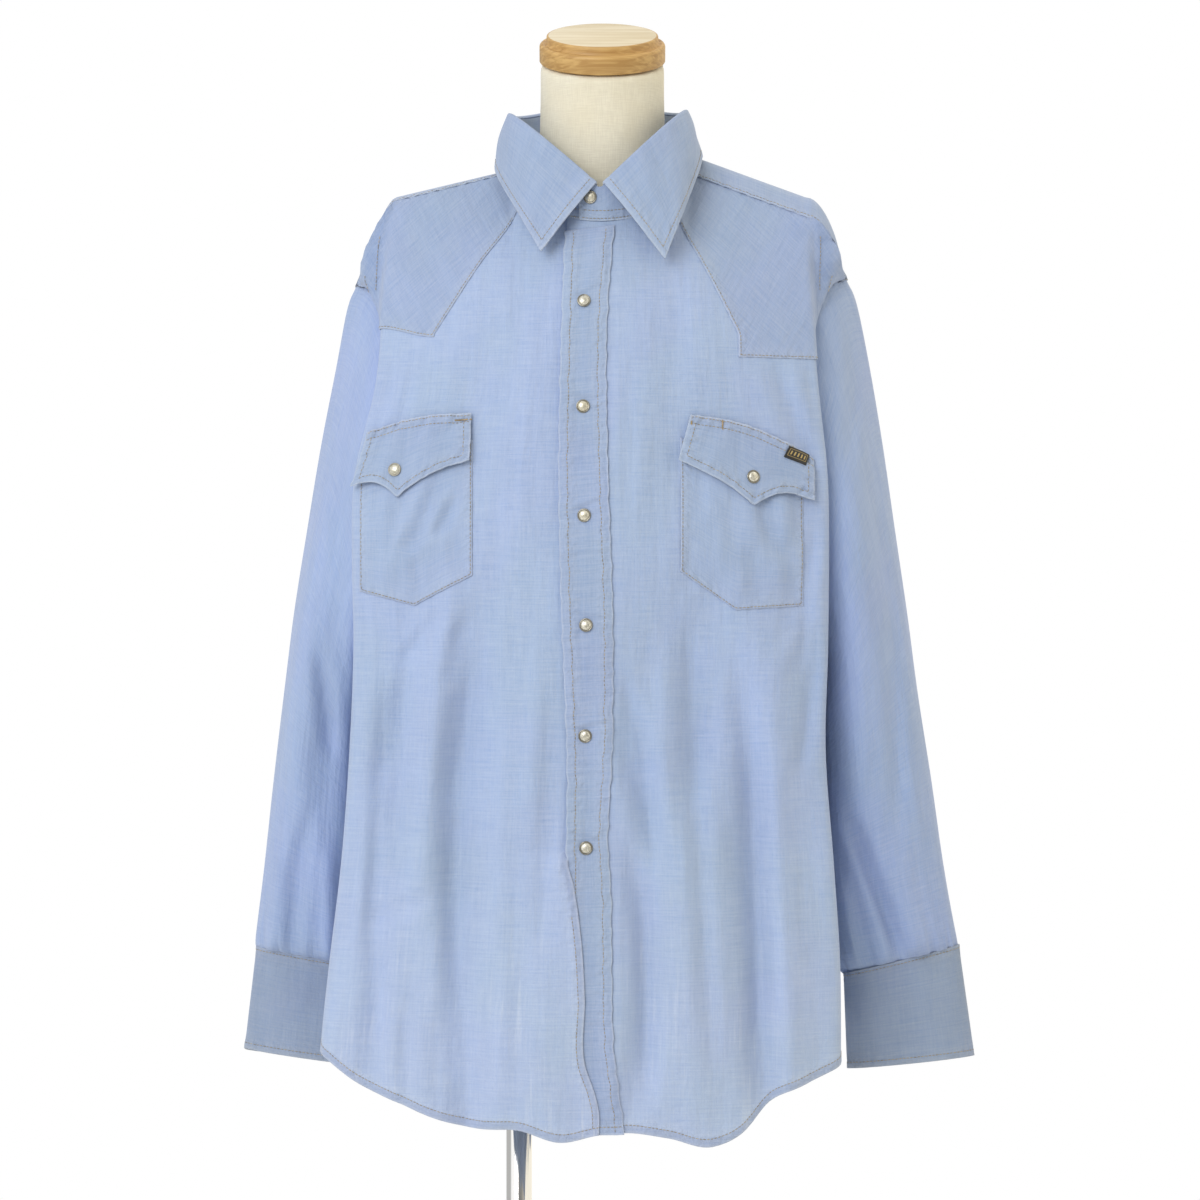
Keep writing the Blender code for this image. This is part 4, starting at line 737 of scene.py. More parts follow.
def measured(points):
    """A grid of places' distances from its four edges, along the cloth."""
    def lengths(axis):
        steps = np.linalg.norm(np.diff(points, axis=axis), axis=-1)
        start = np.zeros_like(np.take(steps, [0], axis))
        return np.cumsum(np.concatenate((start, steps), axis), axis)

    across, down = lengths(1), lengths(0)
    return {"left": across, "right": across[:, -1:] - across, "top": down, "bottom": down[-1:] - down}


def unit(vectors):
    return vectors / np.maximum(np.linalg.norm(vectors, axis=-1, keepdims=True), 1e-12)


def normals_of(points, closed=False):
    """Normals of a grid that runs to the right and down as it is seen from outside."""
    normal = np.cross(np.gradient(points, axis=0), np.gradient(points, axis=1))
    if closed:
        normal[:, 0] = normal[:, -1] = normal[:, 0] + normal[:, -1]
    return unit(normal)


def spaced(size, step, low, high):
    """Shares of a size, evenly spaced, with closer ones about a seam near each end."""
    def near(depth):
        about = (depth - GROOVE_WIDTH, depth, depth + GROOVE_WIDTH)
        return {0.0006, *(at for at in about if at > 0.001)}

    ends = {0.0, size} | near(low) | {size - depth for depth in near(high)}
    even = {at for at in np.linspace(0, size, max(2, round(size / step)) + 1)
            if min(abs(at - end) for end in ends) > 0.35 * step}
    return np.array(sorted(ends | even)) / size


def cloth(name, flat, step, place, finish, slot, node, wall=PLY, ply=0.0, sewn=None, pressed=(), relief=None,
          grain=None, closed=False, pucker=0.0005,
          painted_light_and_shade=None):
    """A sheet of cloth, laid out from a unit grid by place(u, v), and the grid of its finished places.

    u runs to the right and v down, as the piece is seen from outside.  sewn gives each stitched edge the
    depth of its stitching: the cloth there is folded double, sinks under the thread, puckers, and is paler
    at the fold.  pressed names the edges that lie flat on the cloth below, grain(u, v) gives the run of the
    threads, and the last argument, given u, v and height, gives how far painted light shining through pales
    the cloth, or under 0 how far painted shade darkens it.
    """
    sewn = sewn or {}
    u_lines = spaced(flat[0], step[0], sewn.get("left", 0), sewn.get("right", 0))
    v_lines = spaced(flat[1], step[1], sewn.get("top", 0), sewn.get("bottom", 0))
    rows, across = shape = len(v_lines), len(u_lines)
    u, v = (axis.ravel() for axis in np.meshgrid(u_lines, v_lines))
    points = place(u, v).reshape(*shape, 3)
    gap = measured(points)
    mark, toned, doubled = np.zeros(shape), np.zeros(shape), np.full(shape, float(ply))
    out = relief(u, v).reshape(shape) if relief else np.zeros(shape)
    for number, (side, depth) in enumerate(sewn.items()):
        along = gap["left"] if side in ("top", "bottom") else gap["top"]
        close = np.exp(-((gap[side] - depth) / PUCKER_WIDTH) ** 2)
        mark = np.maximum(mark, close)
        if depth:
            doubled = np.maximum(doubled, 1 - ease(gap[side], depth - 0.0004, depth + 0.0010))
            # the folded edge itself is paler
            toned = np.maximum(toned, 1 - ease(gap[side], 0.0, 0.0013))
            out = out + FOLD_HEIGHT * (1 - ease(gap[side], depth, depth + 0.001))
            out = out - FOLD_HEIGHT * np.exp(-((gap[side] - depth) / GROOVE_WIDTH) ** 2)
        ripple = pucker * close * wave(along, PUCKER_LENGTH, number)
        out = out + ripple * (1 - ease(gap[side], 0.006, 0.014))
    for side in pressed:
        out = out - PRESSED_IN * np.exp(-gap[side] / PRESSED_WIDTH)
    outward = normals_of(points, closed)
    if closed:
        out[:, 0] = out[:, -1] = (out[:, 0] + out[:, -1]) / 2
    points = points + outward * out[..., None]

    builder = bmesh.new()
    bmesh.ops.create_grid(builder, x_segments=across - 1, y_segments=rows - 1, size=0.5)
    mesh = meshed(builder, name)
    at = np.empty(len(mesh.vertices) * 3)
    mesh.vertices.foreach_get("co", at)
    column = np.rint((at[0::3] + 0.5) * (across - 1)).astype(int)
    row = np.rint((0.5 - at[1::3]) * (rows - 1)).astype(int)
    mesh.vertices.foreach_set("co", points[row, column].ravel())
    # painted light and painted shade, kept as a point attribute for the chambray
    lit_and_shaded = painted_light_and_shade(u, v, points[..., 2].ravel()).reshape(shape) if painted_light_and_shade else np.zeros(shape)
    for label, values in (("seam", mark), ("ply", doubled), ("edge", toned), ("painted_light_and_shade", lit_and_shaded)):
        mesh.attributes.new(label, "FLOAT", "POINT").data.foreach_set("value", values[row, column])
    corner = np.empty(len(mesh.loops), int)
    mesh.loops.foreach_get("vertex_index", corner)
    spread = np.stack(grain(u, v) if grain else (u * flat[0], -v * flat[1]), -1).reshape(*shape, 2)
    mesh.uv_layers.new(name="cloth").data.foreach_set("uv", spread[row, column][corner].ravel())
    if closed:
        merge_doubles(mesh, 1e-6)
    mesh.shade_smooth()
    made = add_piece(name, mesh, finish, slot, node)
    modify(made, "wall", "SOLIDIFY", thickness=wall, offset=-1)
    return {"points": points, "normals": normals_of(points, closed)}


def run_of(points):
    """The length along a line up to each of its places."""
    return np.concatenate(((0,), np.cumsum(np.linalg.norm(np.diff(points, axis=0), axis=-1))))


def at_lengths(lengths, run, values):
    return np.stack([np.interp(lengths, run, axis) for axis in values.T], -1)


def seams(sheet, edges, depth, start=0.0, end=None):
    """Runs of places and normals along a sheet, at a depth from each of the named edges."""
    runs = []
    for name in edges.split():
        gap, points, normals = measured(sheet["points"])[name], sheet["points"], sheet["normals"]
        if name in ("top", "bottom"):
            gap, points, normals = gap.T, points.transpose(1, 0, 2), normals.transpose(1, 0, 2)
        line = []
        for distance, place, normal in zip(gap, points, normals):
            order = np.argsort(distance)
            line.append([np.interp(depth, distance[order], axis[order]) for axis in (*place.T, *normal.T)])
        line = np.array(line)
        run = run_of(line[:, :3])
        last = run[-1] - (start if end is None else end)
        line = at_lengths(np.linspace(start, last, max(3, int(run[-1] / 0.0015))), run, line)
        runs.append((line[:, :3], line[:, 3:]))
    return runs


def thread(name, dark, pale):
    """Twisted thread, uneven in tone from one stitch to the next."""
    tree = new_material(name)
    tone = tree.noise(tree.own_place(), 230.0)
    return tree.finish(Base_Color=tree.mix(tone.rise(0.3, 0.7), dark, pale), Roughness=0.8,
                       Sheen_Weight=0.3, Normal=tree.bump(tone, 0.4, 0.0002))


tan_thread = thread("tan_thread", (0.220, 0.170, 0.095, 1), (0.420, 0.345, 0.215, 1))


def stitches(name, runs, finish=tan_thread, pitch=0.0031, length=0.0029, width=0.00068, across=False):
    """Stitches in a row along each run of places and normals, as one piece of short round threads."""
    builder = bmesh.new()
    bmesh.ops.create_icosphere(builder, subdivisions=1, radius=0.5)
    ball = np.array([vert.co for vert in builder.verts])
    corners = np.array([[vert.index for vert in face.verts] for face in builder.faces])
    builder.free()
    places, faces, count = [], [], 0
    for points, normals in runs:
        run = run_of(points)
        number = max(1, int(run[-1] / pitch))
        at = (np.arange(number) + 0.5) * run[-1] / number
        before, here, after = (at_lengths(at + shift, run, points) for shift in (-pitch / 2, 0, pitch / 2))
        up = at_lengths(at, run, normals)
        along = unit(after - before)
        aside = np.cross(up, along)
        if across:
            along, aside = aside, -along
        turn = np.stack((along * length, aside * width, up * width * 0.8), 1)
        thread_points = (here + up * width * 0.15)[:, None] + np.einsum("vk,nkj->nvj", ball, turn)
        places.append(thread_points.reshape(-1, 3))
        faces.append((corners[None] + (count + np.arange(number) * len(ball))[:, None, None]).reshape(-1, 3))
        count += number * len(ball)
    mesh = bpy.data.meshes.new(name)
    mesh.from_pydata(np.concatenate(places).tolist(), [], np.concatenate(faces).tolist())
    mesh.shade_smooth()
    return add_piece(name, mesh, finish, "chambray")


WARP, WEFT = (0.268, 0.362, 0.575, 1), (0.655, 0.705, 0.785, 1)


def skirt_light_through(*at):
    """Painted light shining through the shirt's skirts, which are one ply: full below 0.62 m, fading out by
    0.90 m.
    """
    return 1 - ease(at[-1], 0.62, 0.90)


one_ply = chambray("chambray", WARP, WEFT, (0.84, 0.84, 0.87, 1))
fronts = {}
for side, name in SIDES.items():
    sewn = {"bottom": HEM_DEPTH, OUTER[side]: 0.0}
    if side == RIGHT:
        sewn["right"] = FACING_DEPTH
    at = front_panel(side)
    fronts[side] = cloth("front_panel_" + name, (0.292, 0.765), (0.0030, 0.0026),
                         lambda u, v: front(side, *at(u, v)), one_ply, "chambray", "front_" + name,
                         sewn=sewn, painted_light_and_shade=skirt_light_through,
                         grain=lambda u, v: (at(u, v)[0] * side * SHARE_WIDTH, at(u, v)[1]))
stitches("front_stitching", [*(run for sheet in fronts.values() for run in seams(sheet, "bottom", HEM_DEPTH)),
                             *seams(fronts[RIGHT], "right", FACING_DEPTH, 0.60, HEM_DEPTH)])


# ---- The back: one panel below a pointed yoke of two plies, which runs over both shoulders to the front
# seams.  It hangs free of the form in long uneven folds.
SHOULDER_ROLL = 0.055
BACK_YOKE_POINT = 0.050
YOKE_LAP, YOKE_LIP = 0.0016, 0.0021      # the yoke's turned edge over the front yokes: how far, how high
YOKE_OVER = 0.45                         # the share of the yoke that lies over the shoulder
ARMHOLE_STATIONS, YOKE_STATION = 8, 3    # from the armhole's top to its foot, and down to the yoke's seam
BACK_CREASES = columns(
    CREASE,
    (-120, 1130, -142, 480, 4, 16, 11.2),
    (-152, 990, -166, 560, 0, 10, -4.2),
    (-84, 1020, -92, 500, 3, 20, -6.4),
    (-40, 950, -53, 560, -4, 12, 7),
    (-75, 1160, -20, 1060, 4, 10, 2.5),
    (8, 1080, 4, 460, 6, 17, 9.2),
    (48, 900, 58, 560, 0, 16, -5.3),
    (82, 1000, 91, 500, -4, 13, 7),
    (118, 1130, 142, 480, 3, 15, 11.2),
    (151, 970, 166, 600, 0, 10, -3.6),
    (90, 1170, 30, 1080, -4, 10, 2.2),
    (-110, 1000, -116, 640, 3, 8, 3.4),
    (-62, 1120, -70, 820, -4, 9, 3.4),
    (-20, 860, -26, 560, 0, 8, 3.6),
    (30, 1100, 34, 760, 4, 8, -3),
    (66, 960, 74, 640, 3, 7, 3.4),
    (104, 900, 112, 600, -3, 8, -3.4),
    (150, 1180, 110, 1140, 2, 7, 2),
    (-150, 1185, -105, 1150, -2, 7, 2),
)


def armhole_height(side, station):
    drop_z, pit_z = (SHOULDER[side][name][2] for name in ("drop", "pit"))
    return drop_z - (drop_z - pit_z) * (1 - np.cos(math.pi * np.asarray(station) / ARMHOLE_STATIONS)) / 2


def back_face(side, share, z):
    x = side * share * look_up(BODY, "back_ridge", z)
    return x, rounded("back", "back_ridge_depth", share, z) - creases(BACK_CREASES, x, z) - drift(x, z)


def back_top(side, q):
    """The back's top edge: the back neckline, then the front's shoulder seam."""
    seam = front(side, q, front_top(side, q))
    neck = NECK_HALF / SHOULDER[side]["tip"][0] * RIDGE_AT
    arc = np.sqrt(np.clip(1 - (q / neck) ** 2, 0, 1))
    neckline = np.stack((seam[..., 0], blend(NECK_SIDE_Y, NECK_BACK[0], arc),
                         blend(NECK_SIDE_Z, NECK_BACK[1], arc)), -1)
    return np.where((q < neck)[..., None], neckline, seam)


def back_turn(side, q):
    """Height where the back starts to turn over the shoulder, and the length of that turn."""
    roll = SHOULDER_ROLL * (1 - past_ridge(q))
    return back_top(side, q)[..., 2] - roll, 2 * roll + 1e-6


def back(side, q, reach):
    """A place on the back: reach is its height, and runs on as a length over the shoulder."""
    start, length = back_turn(side, q)
    foot = to_armhole(back_face, "back", side, q, np.minimum(reach, start))
    t = np.clip((reach - start) / length, 0, 1)[..., None]
    top = back_top(side, q)
    rise = SHOULDER[side]["rise"] * np.clip((q / RIDGE_AT - 0.3) / 0.2, 0, 1) * (1 - past_ridge(q) ** 2)
    above_foot, before_top = foot.copy(), blend(top, foot, 0.35)
    above_foot[..., 2] += 0.55 * (top[..., 2] + rise - foot[..., 2])
    before_top[..., 2] = top[..., 2] + 1.4 * rise
    return ((1 - t) ** 3 * foot + 3 * (1 - t) ** 2 * t * above_foot
            + 3 * (1 - t) * t**2 * before_top + t**3 * top)


def back_seam(side, q):
    """Height of the yoke's seam on the back, lowest at its point."""
    return blend(armhole_height(side, YOKE_STATION), armhole_height(RIGHT, YOKE_STATION) - BACK_YOKE_POINT,
                 (1 - q) ** 1.3)


def both_sides(u, v, place):
    """Places on a piece that spans the back, seen from behind: u runs from the left side to the right."""
    q = np.minimum(np.abs(1 - 2 * u), SHORT_OF_EDGE)
    left, right = place(LEFT, q, v), place(RIGHT, q, v)
    return np.where((u < 0.5).reshape(-1, *[1] * (left.ndim - 1)), left, right)


def back_height(side, q, v):
    return blend(back_seam(side, q), hem_height(side, q, "back"), v)


def back_panel(side, q, v):
    return back(side, q, blend(back_seam(side, q) - 0.0004, hem_height(side, q, "back"), v))


def back_grain(u, v):
    """The threads of a piece that spans the back run straight down it and across it."""
    return (1 - 2 * u) * -SHARE_WIDTH, both_sides(u, v, back_height)


def back_yoke(side, q, v):
    start, length = back_turn(side, q)
    seam, top_z = back_seam(side, q), armhole_height(side, 0)
    reach = np.where(v < YOKE_OVER, start + length * (1 - v / YOKE_OVER),
                     blend(start, seam, np.clip((v - YOKE_OVER) / (1 - YOKE_OVER), 0, 1)))
    fallen = ((top_z - armhole_height(side, YOKE_STATION * v))
              / (top_z - armhole_height(side, YOKE_STATION)))
    reach = blend(reach, blend(start + length, seam, fallen), ease(q, 0.8, 1.0) ** 4)
    lip = (1 - ease(v, 0, 0.06))[:, None]
    top = front_top(side, q)
    return back(side, q, reach) + (front(side, q, top - YOKE_LAP) - front(side, q, top)) * lip


def yoke_lip(u, v):
    """The yoke's front edge lies over the front yokes' top edges."""
    return (YOKE_LIP - 0.0010 * ease(np.abs(1 - 2 * u), 0.80, 0.87)) * (1 - ease(v, 0.07, 0.16))


two_ply = chambray("chambray_double", tinted(WARP, 0.93), WEFT, (0.90, 0.91, 0.93, 1))
back_cloth = cloth("back_panel", (0.60, 0.62), (0.0042, 0.0032), lambda u, v: both_sides(u, v, back_panel),
                   one_ply, "chambray", "back", sewn={"bottom": HEM_DEPTH, "left": 0.0, "right": 0.0},
                   grain=back_grain, painted_light_and_shade=skirt_light_through)
yoke_cloth = cloth("back_yoke", (0.52, 0.25), (0.0036, 0.0034), lambda u, v: both_sides(u, v, back_yoke),
                   two_ply, "chambray_double", "yoke_back", ply=1.0, relief=yoke_lip,
                   sewn={"bottom": 0.0022, "top": 0.0026, "left": 0.0, "right": 0.0}, pucker=0.0009)
stitches("back_stitching", seams(back_cloth, "bottom", HEM_DEPTH) + seams(yoke_cloth, "bottom", 0.0022)
         + seams(yoke_cloth, "bottom", 0.0075) + seams(yoke_cloth, "top", 0.0026, 0.070, 0.080))


# ---- The pointed front yokes: a second ply laid on each front, turned under and edge-stitched.
YOKE_EDGE = columns(
    "height right left",
    (1237, 135.5, 113),
    (1262, 120, 101),
    (1299, 96.6, 82.5),
    (1330, 74, 66),
    (1365, 60, 56),
)
YOKE_START = 1.360       # the height at which the slanting edge meets the shoulder seam
YOKE_POINT = {RIGHT: 1.2350, LEFT: 1.2180}
YOKE_LOWER = {RIGHT: 1.2430, LEFT: 1.2175}
YOKE_TOP, YOKE_REACH = 0.0004, 0.994      # below the shoulder seam, and short of the armhole
YOKE_BIAS = 0.65         # the yokes are cut slantwise to the threads
YOKE_STITCH = 0.0020
LAID = 0.0010            # a laid piece's outer face over the cloth that it lies on
DROPPED_FOOT, DROPPED_HEAD = (0.900, 1.277), (0.835, 1.330)     # the seam's ends: share and height
DROPPED_STITCHES, DROPPED_OUT, NORMAL_STEP = (0.012, 0.066), LAID + 0.0024, 0.0066


def raised(surface, side, a, b, step, out):
    """Places on a surface of two numbers, moved out along its normal."""
    across = surface(side, a + step, b) - surface(side, a - step, b)
    down = surface(side, a, b + step) - surface(side, a, b - step)
    normal = unit(np.cross(down, across) * -side)
    return surface(side, a, b) + normal * np.broadcast_to(out, a.shape)[..., None]


def lifted(side, q, z, out):
    """Places off the front."""
    return raised(front, side, q, z, 0.0008, out)


def on_front(side, x, z, out):
    return lifted(side, share_of(side, x, z), z, out)


def front_yoke(side):
    """A front yoke's shares and heights, from its slanting inner edge to the armhole, down to its foot."""
    def inner_q(z):
        return share_of(side, side * look_up(YOKE_EDGE, SIDES[side], z), z)

    start = float(inner_q(np.array(YOKE_START)))
    top_z, end_z = (float(front_top(side, np.array(q))) - YOKE_TOP for q in (start, YOKE_REACH))
    foot_q = float(inner_q(np.array(YOKE_POINT[side])))

    def inner(t):
        z = blend(top_z, YOKE_POINT[side], t)
        return pairs(inner_q(z), z)

    def outer(t):
        return pairs(YOKE_REACH, blend(end_z, YOKE_LOWER[side], t))

    def top(t):
        q = blend(start, YOKE_REACH, t)
        return pairs(q, front_top(side, q) - YOKE_TOP)

    def foot(t):
        return pairs(blend(foot_q, YOKE_REACH, t), blend(YOKE_POINT[side], YOKE_LOWER[side], ease(t, 0, 0.5)))

    return lambda u, v: patch(side, u, v, inner, outer, top, foot)


def dropped_seam(z):
    """The share at which the shoulder seam runs down the dropped shoulder."""
    (foot_q, foot_z), (head_q, head_z) = DROPPED_FOOT, DROPPED_HEAD
    return np.clip(blend(foot_q, head_q, (z - foot_z) / (head_z - foot_z)), 0.8, 1)


def seam_step(q, z):
    """The cloth behind the dropped seam lies over the cloth in front of it, in small puckers."""
    over = ease(q, dropped_seam(z) - 0.006, dropped_seam(z) + 0.003) * ease(z, 1.255, 1.275)
    return 0.0013 * over * (1 + 0.4 * wave(z, 0.0065, 0.4)) * (1 - ease(q, 0.960, 0.984))


def dropped_seam_ply_and_shade(q, z):
    """Painted shade in the recess just behind the dropped seam, together with the plies folded into the seam,
    darkens the cloth there.
    """
    seam = dropped_seam(z)
    return -ease(q, seam, seam + 0.01) * (1 - ease(q, seam + 0.055, seam + 0.075)) * ease(z, 1.26, 1.28)


def on_bias(side, q, z):
    across = q * side * SHARE_WIDTH
    return (across * math.cos(YOKE_BIAS) - side * z * math.sin(YOKE_BIAS),
            side * across * math.sin(YOKE_BIAS) + z * math.cos(YOKE_BIAS))


yoke_seams = []
for side, name in SIDES.items():
    at = front_yoke(side)
    sheet = cloth("front_yoke_" + name, (0.150, 0.120), (0.0027, 0.0027),
                  lambda u, v: lifted(side, *at(u, v), LAID + 0.0004 * ease(at(u, v)[0], 0.74, 0.82)),
                  two_ply, "chambray_double", "yoke_front_" + name, ply=1.0,
                  sewn={name: YOKE_STITCH, "bottom": YOKE_STITCH, OUTER[side]: 0.0, "top": 0.0},
                  pressed=(name, "bottom"),
                  relief=lambda u, v: seam_step(*at(u, v)), grain=lambda u, v: on_bias(side, *at(u, v)),
                  painted_light_and_shade=lambda u, v, z: dropped_seam_ply_and_shade(*at(u, v)))
    for beyond in DROPPED_STITCHES:
        z = np.linspace(1.276, DROPPED_HEAD[1] - 0.6 * beyond, 60)
        q = dropped_seam(z) + beyond
        line = lifted(side, q, z, DROPPED_OUT)
        yoke_seams.append((line, (lifted(side, q, z, DROPPED_OUT + NORMAL_STEP) - line) / NORMAL_STEP))
    yoke_seams += seams(sheet, name, YOKE_STITCH, 0.022, 0.001) + seams(sheet, "bottom", YOKE_STITCH, 0.001)
stitches("front_yoke_stitching", yoke_seams)


# ---- The snap band: a doubled strip laid down the left front's edge, stitched 7 mm in along both edges and
# drawn into short ripples by its stitching.
BAND_TOP, BAND_FOOT, BAND_STITCH, BAND_LENGTH = 1.327, 0.5885, 0.0072, 0.740
# The snaps' heights, and how steeply the crease over each one slants
SNAP_PULLS = ((1.264, 0.30), (1.177, -0.15), (1.088, 0.35), (0.999, -0.25), (0.909, 0.20), (0.819, -0.30))


def band_place(u, v):
    z = blend(BAND_TOP - 0.005 * (1 - u), BAND_FOOT, v)
    x = blend(look_up(BAND, "free_edge", z), look_up(BAND, "sewn_edge", z), u)
    drawn = 0.0007 * (2 * u - 1) * wave(z, 0.021, 1.5 + u)
    return on_front(LEFT, x + drawn, z, LAID + 0.0004)


def band_ripples(u, v):
    """Short ripples drawn in by the stitching, and a crease pulled aslant over each snap."""
    run, across = v * BAND_LENGTH, 0.35 + 0.65 * np.abs(2 * u - 1) ** 1.5
    out = 0.00055 * across * (wave(run, 0.0078, 1.0 + 1.4 * u) + 0.5 * wave(run, 0.019, 2.0 + u))
    reach = 1 - ease(np.abs(u - 0.5), 0.25, 0.48)
    for height, slant in SNAP_PULLS:
        above = BAND_TOP - run - height - 0.0085 - slant * (u - 0.5) * 0.040
        fold = np.exp(-((above / 0.0020) ** 2)) - 0.5 * np.exp(-((above - 0.004) / 0.0026) ** 2)
        out = out - reach * 0.0009 * fold
    return out


band_cloth = cloth("snap_band", (0.041, BAND_LENGTH), (0.0017, 0.0018), band_place, two_ply, "chambray",
                   "placket_band", ply=1.0, relief=band_ripples,
                   sewn={"left": BAND_STITCH, "right": BAND_STITCH, "bottom": HEM_DEPTH})
stitches("band_stitching", seams(band_cloth, "left right", BAND_STITCH, 0.002)
         + seams(band_cloth, "bottom", HEM_DEPTH, 0.001))


# ---- The chest pockets: a pointed patch under a scalloped flap on each side, edge-stitched, with ochre bar
# tacks where the flaps are sewn down and a small black tab let into the left flap.
POCKET = {     # as it is seen: the side edges with the point between them, their tops and their feet
    RIGHT: {"x": (-0.1965, -0.1510, -0.1032), "top": (1.1200, 1.1500), "foot": (1.0270, 1.0150, 1.0400)},
    LEFT: {"x": (0.0650, 0.1105, 0.1660), "top": (1.1520, 1.1180), "foot": (1.0430, 1.0115, 1.0150)},
}
FLAP = {       # corners, and how far the top edge bows
    RIGHT: {"inner_top": (-0.1040, 1.1715), "outer_top": (-0.1890, 1.1570), "inner_foot": (-0.1050, 1.1330),
            "outer_foot": (-0.1995, 1.1120), "point": (-0.1635, 1.1045), "bow": (0, 0.0046)},
    LEFT: {"inner_top": (0.0735, 1.1700), "outer_top": (0.1745, 1.1350), "inner_foot": (0.0625, 1.1330),
           "outer_foot": (0.1735, 1.1010), "point": (0.1225, 1.0970), "bow": (0, 0.0080)},
}
FLAP_SCALLOP, FLAP_FLARE, POCKET_FULL = 0.007, 0.004, 0.0042
FLAP_STITCH, FLAP_TOP_STITCH, POCKET_STITCH = 0.0060, 0.0020, 0.0022
TACKS = {
    RIGHT: (((-0.1180, 1.1665), (-0.1035, 1.1665)),),
    LEFT: (((0.0740, 1.1690), (0.0740, 1.1600)), ((0.0988, 1.1660), (0.0988, 1.1570))),
}
TAB_CENTRE, TAB_SIZE, TAB_TURN = (0.1590, 1.1370), (0.0190, 0.0090), -0.42
POCKET_CREASES = columns(
    CREASE,
    (-128, 1130, -160, 1050, 3, 6, 5),
    (-112, 1110, -136, 1066, 0, 5, 4.6),
    (-152, 1096, -182, 1024, 2, 8, -3),
    (-126, 1080, -124, 1020, 0, 6, -2.6),
    (-150, 1060, -146, 1018, 0, 5, 3.8),
    (128, 1120, 158, 1040, -3, 7, 5.2),
    (150, 1110, 144, 1020, 0, 6, -3),
    (100, 1110, 112, 1030, 2, 8, 3.6),
    (82, 1100, 78, 1040, 0, 5.5, -2.2),
    (120, 1070, 128, 1006, 0, 6, 3.4),
)


def pocket_place(side, u, v):
    cut = POCKET[side]
    x = blend(cut["x"][0], cut["x"][2], u)
    z = blend(blend(*cut["top"], u), np.interp(x, cut["x"], cut["foot"]), v)
    full = POCKET_FULL * np.sin(math.pi * u) ** 0.7 * np.sin(math.pi * np.clip(v, 0, 1)) ** 0.7
    slack = 1 - np.clip(creases(POCKET_CREASES, x, z) / POCKET_FULL, -0.9, 0.92)
    return on_front(side, x, z, LAID + full * slack)


def flap_place(side, u, v):
    cut = {name: np.array(corner) for name, corner in FLAP[side].items()}
    turn = (cut["point"][0] - cut["inner_foot"][0]) / (cut["outer_foot"] - cut["inner_foot"])[0]
    out_to = (u if side == LEFT else 1 - u)[:, None]
    inner, half = out_to <= turn, np.where(out_to <= turn, out_to / turn, (1 - out_to) / (1 - turn))
    foot = np.where(inner, blend(cut["inner_foot"], cut["point"], out_to / turn),
                    blend(cut["point"], cut["outer_foot"], (out_to - turn) / (1 - turn)))
    foot = foot + FLAP_SCALLOP * np.sin(math.pi * half) * np.where(inner, 0.6, 1.0) * np.array((0, 1))
    top = blend(cut["inner_top"], cut["outer_top"], out_to) + cut["bow"] * np.sin(math.pi * out_to)
    x, z = blend(top, foot, v[:, None]).T
    return on_front(side, x, z, 2 * LAID + 0.0012 + FLAP_FLARE * v**1.3)


flaps, pocket_seams, tack_runs = {}, [], []
for side, name in SIDES.items():
    pocket = cloth(f"pocket_{name}_patch", (0.098, 0.136), (0.0030, 0.0030),
                   lambda u, v: pocket_place(side, u, v), one_ply, "chambray", "pocket_" + name, ply=0.45,
                   sewn=dict.fromkeys(("left", "right", "bottom"), POCKET_STITCH),
                   pressed=("left", "right", "bottom"))
    flap = flaps[side] = cloth(f"flap_{name}_doubled", (0.096, 0.060), (0.0022, 0.0022),
                               lambda u, v: flap_place(side, u, v), two_ply, "chambray_double",
                               "flap_" + name, ply=1.0, wall=0.0011, pucker=0.0016,
                               sewn={**dict.fromkeys(("left", "right", "bottom"), FLAP_STITCH),
                                     "top": FLAP_TOP_STITCH},
                               pressed=("top",))
    pocket_seams += (seams(pocket, "left right bottom", POCKET_STITCH, 0.002)
                     + seams(flap, "top", FLAP_TOP_STITCH, 0.001) + seams(flap, "top", 0.0078, 0.001)
                     + seams(flap, "bottom", FLAP_STITCH, 0.006)
                     + seams(flap, "left right", FLAP_STITCH, 0.008, 0.006))
    for start, end in TACKS[side]:
        x, z = blend(np.array(start), np.array(end), np.linspace(0, 1, 40)[:, None]).T
        line = on_front(side, x, z, 2 * LAID + 0.0014)
        tack_runs.append((line, np.broadcast_to(np.array((0.0, -1.0, 0.0)), line.shape)))
stitches("pocket_stitching", pocket_seams)
stitches("bar_tacks", tack_runs, thread("ochre_thread", (0.300, 0.190, 0.050, 1), (0.560, 0.370, 0.110, 1)),
         pitch=0.00055, length=0.0017, width=0.00050, across=True)


def tab_place(u, v):
    across, up = (u - 0.5) * TAB_SIZE[0], (0.5 - v) * TAB_SIZE[1]
    x = TAB_CENTRE[0] + across * math.cos(TAB_TURN) - up * math.sin(TAB_TURN)
    z = TAB_CENTRE[1] + across * math.sin(TAB_TURN) + up * math.cos(TAB_TURN)
    return on_front(LEFT, x, z, 2 * LAID + 0.0030)


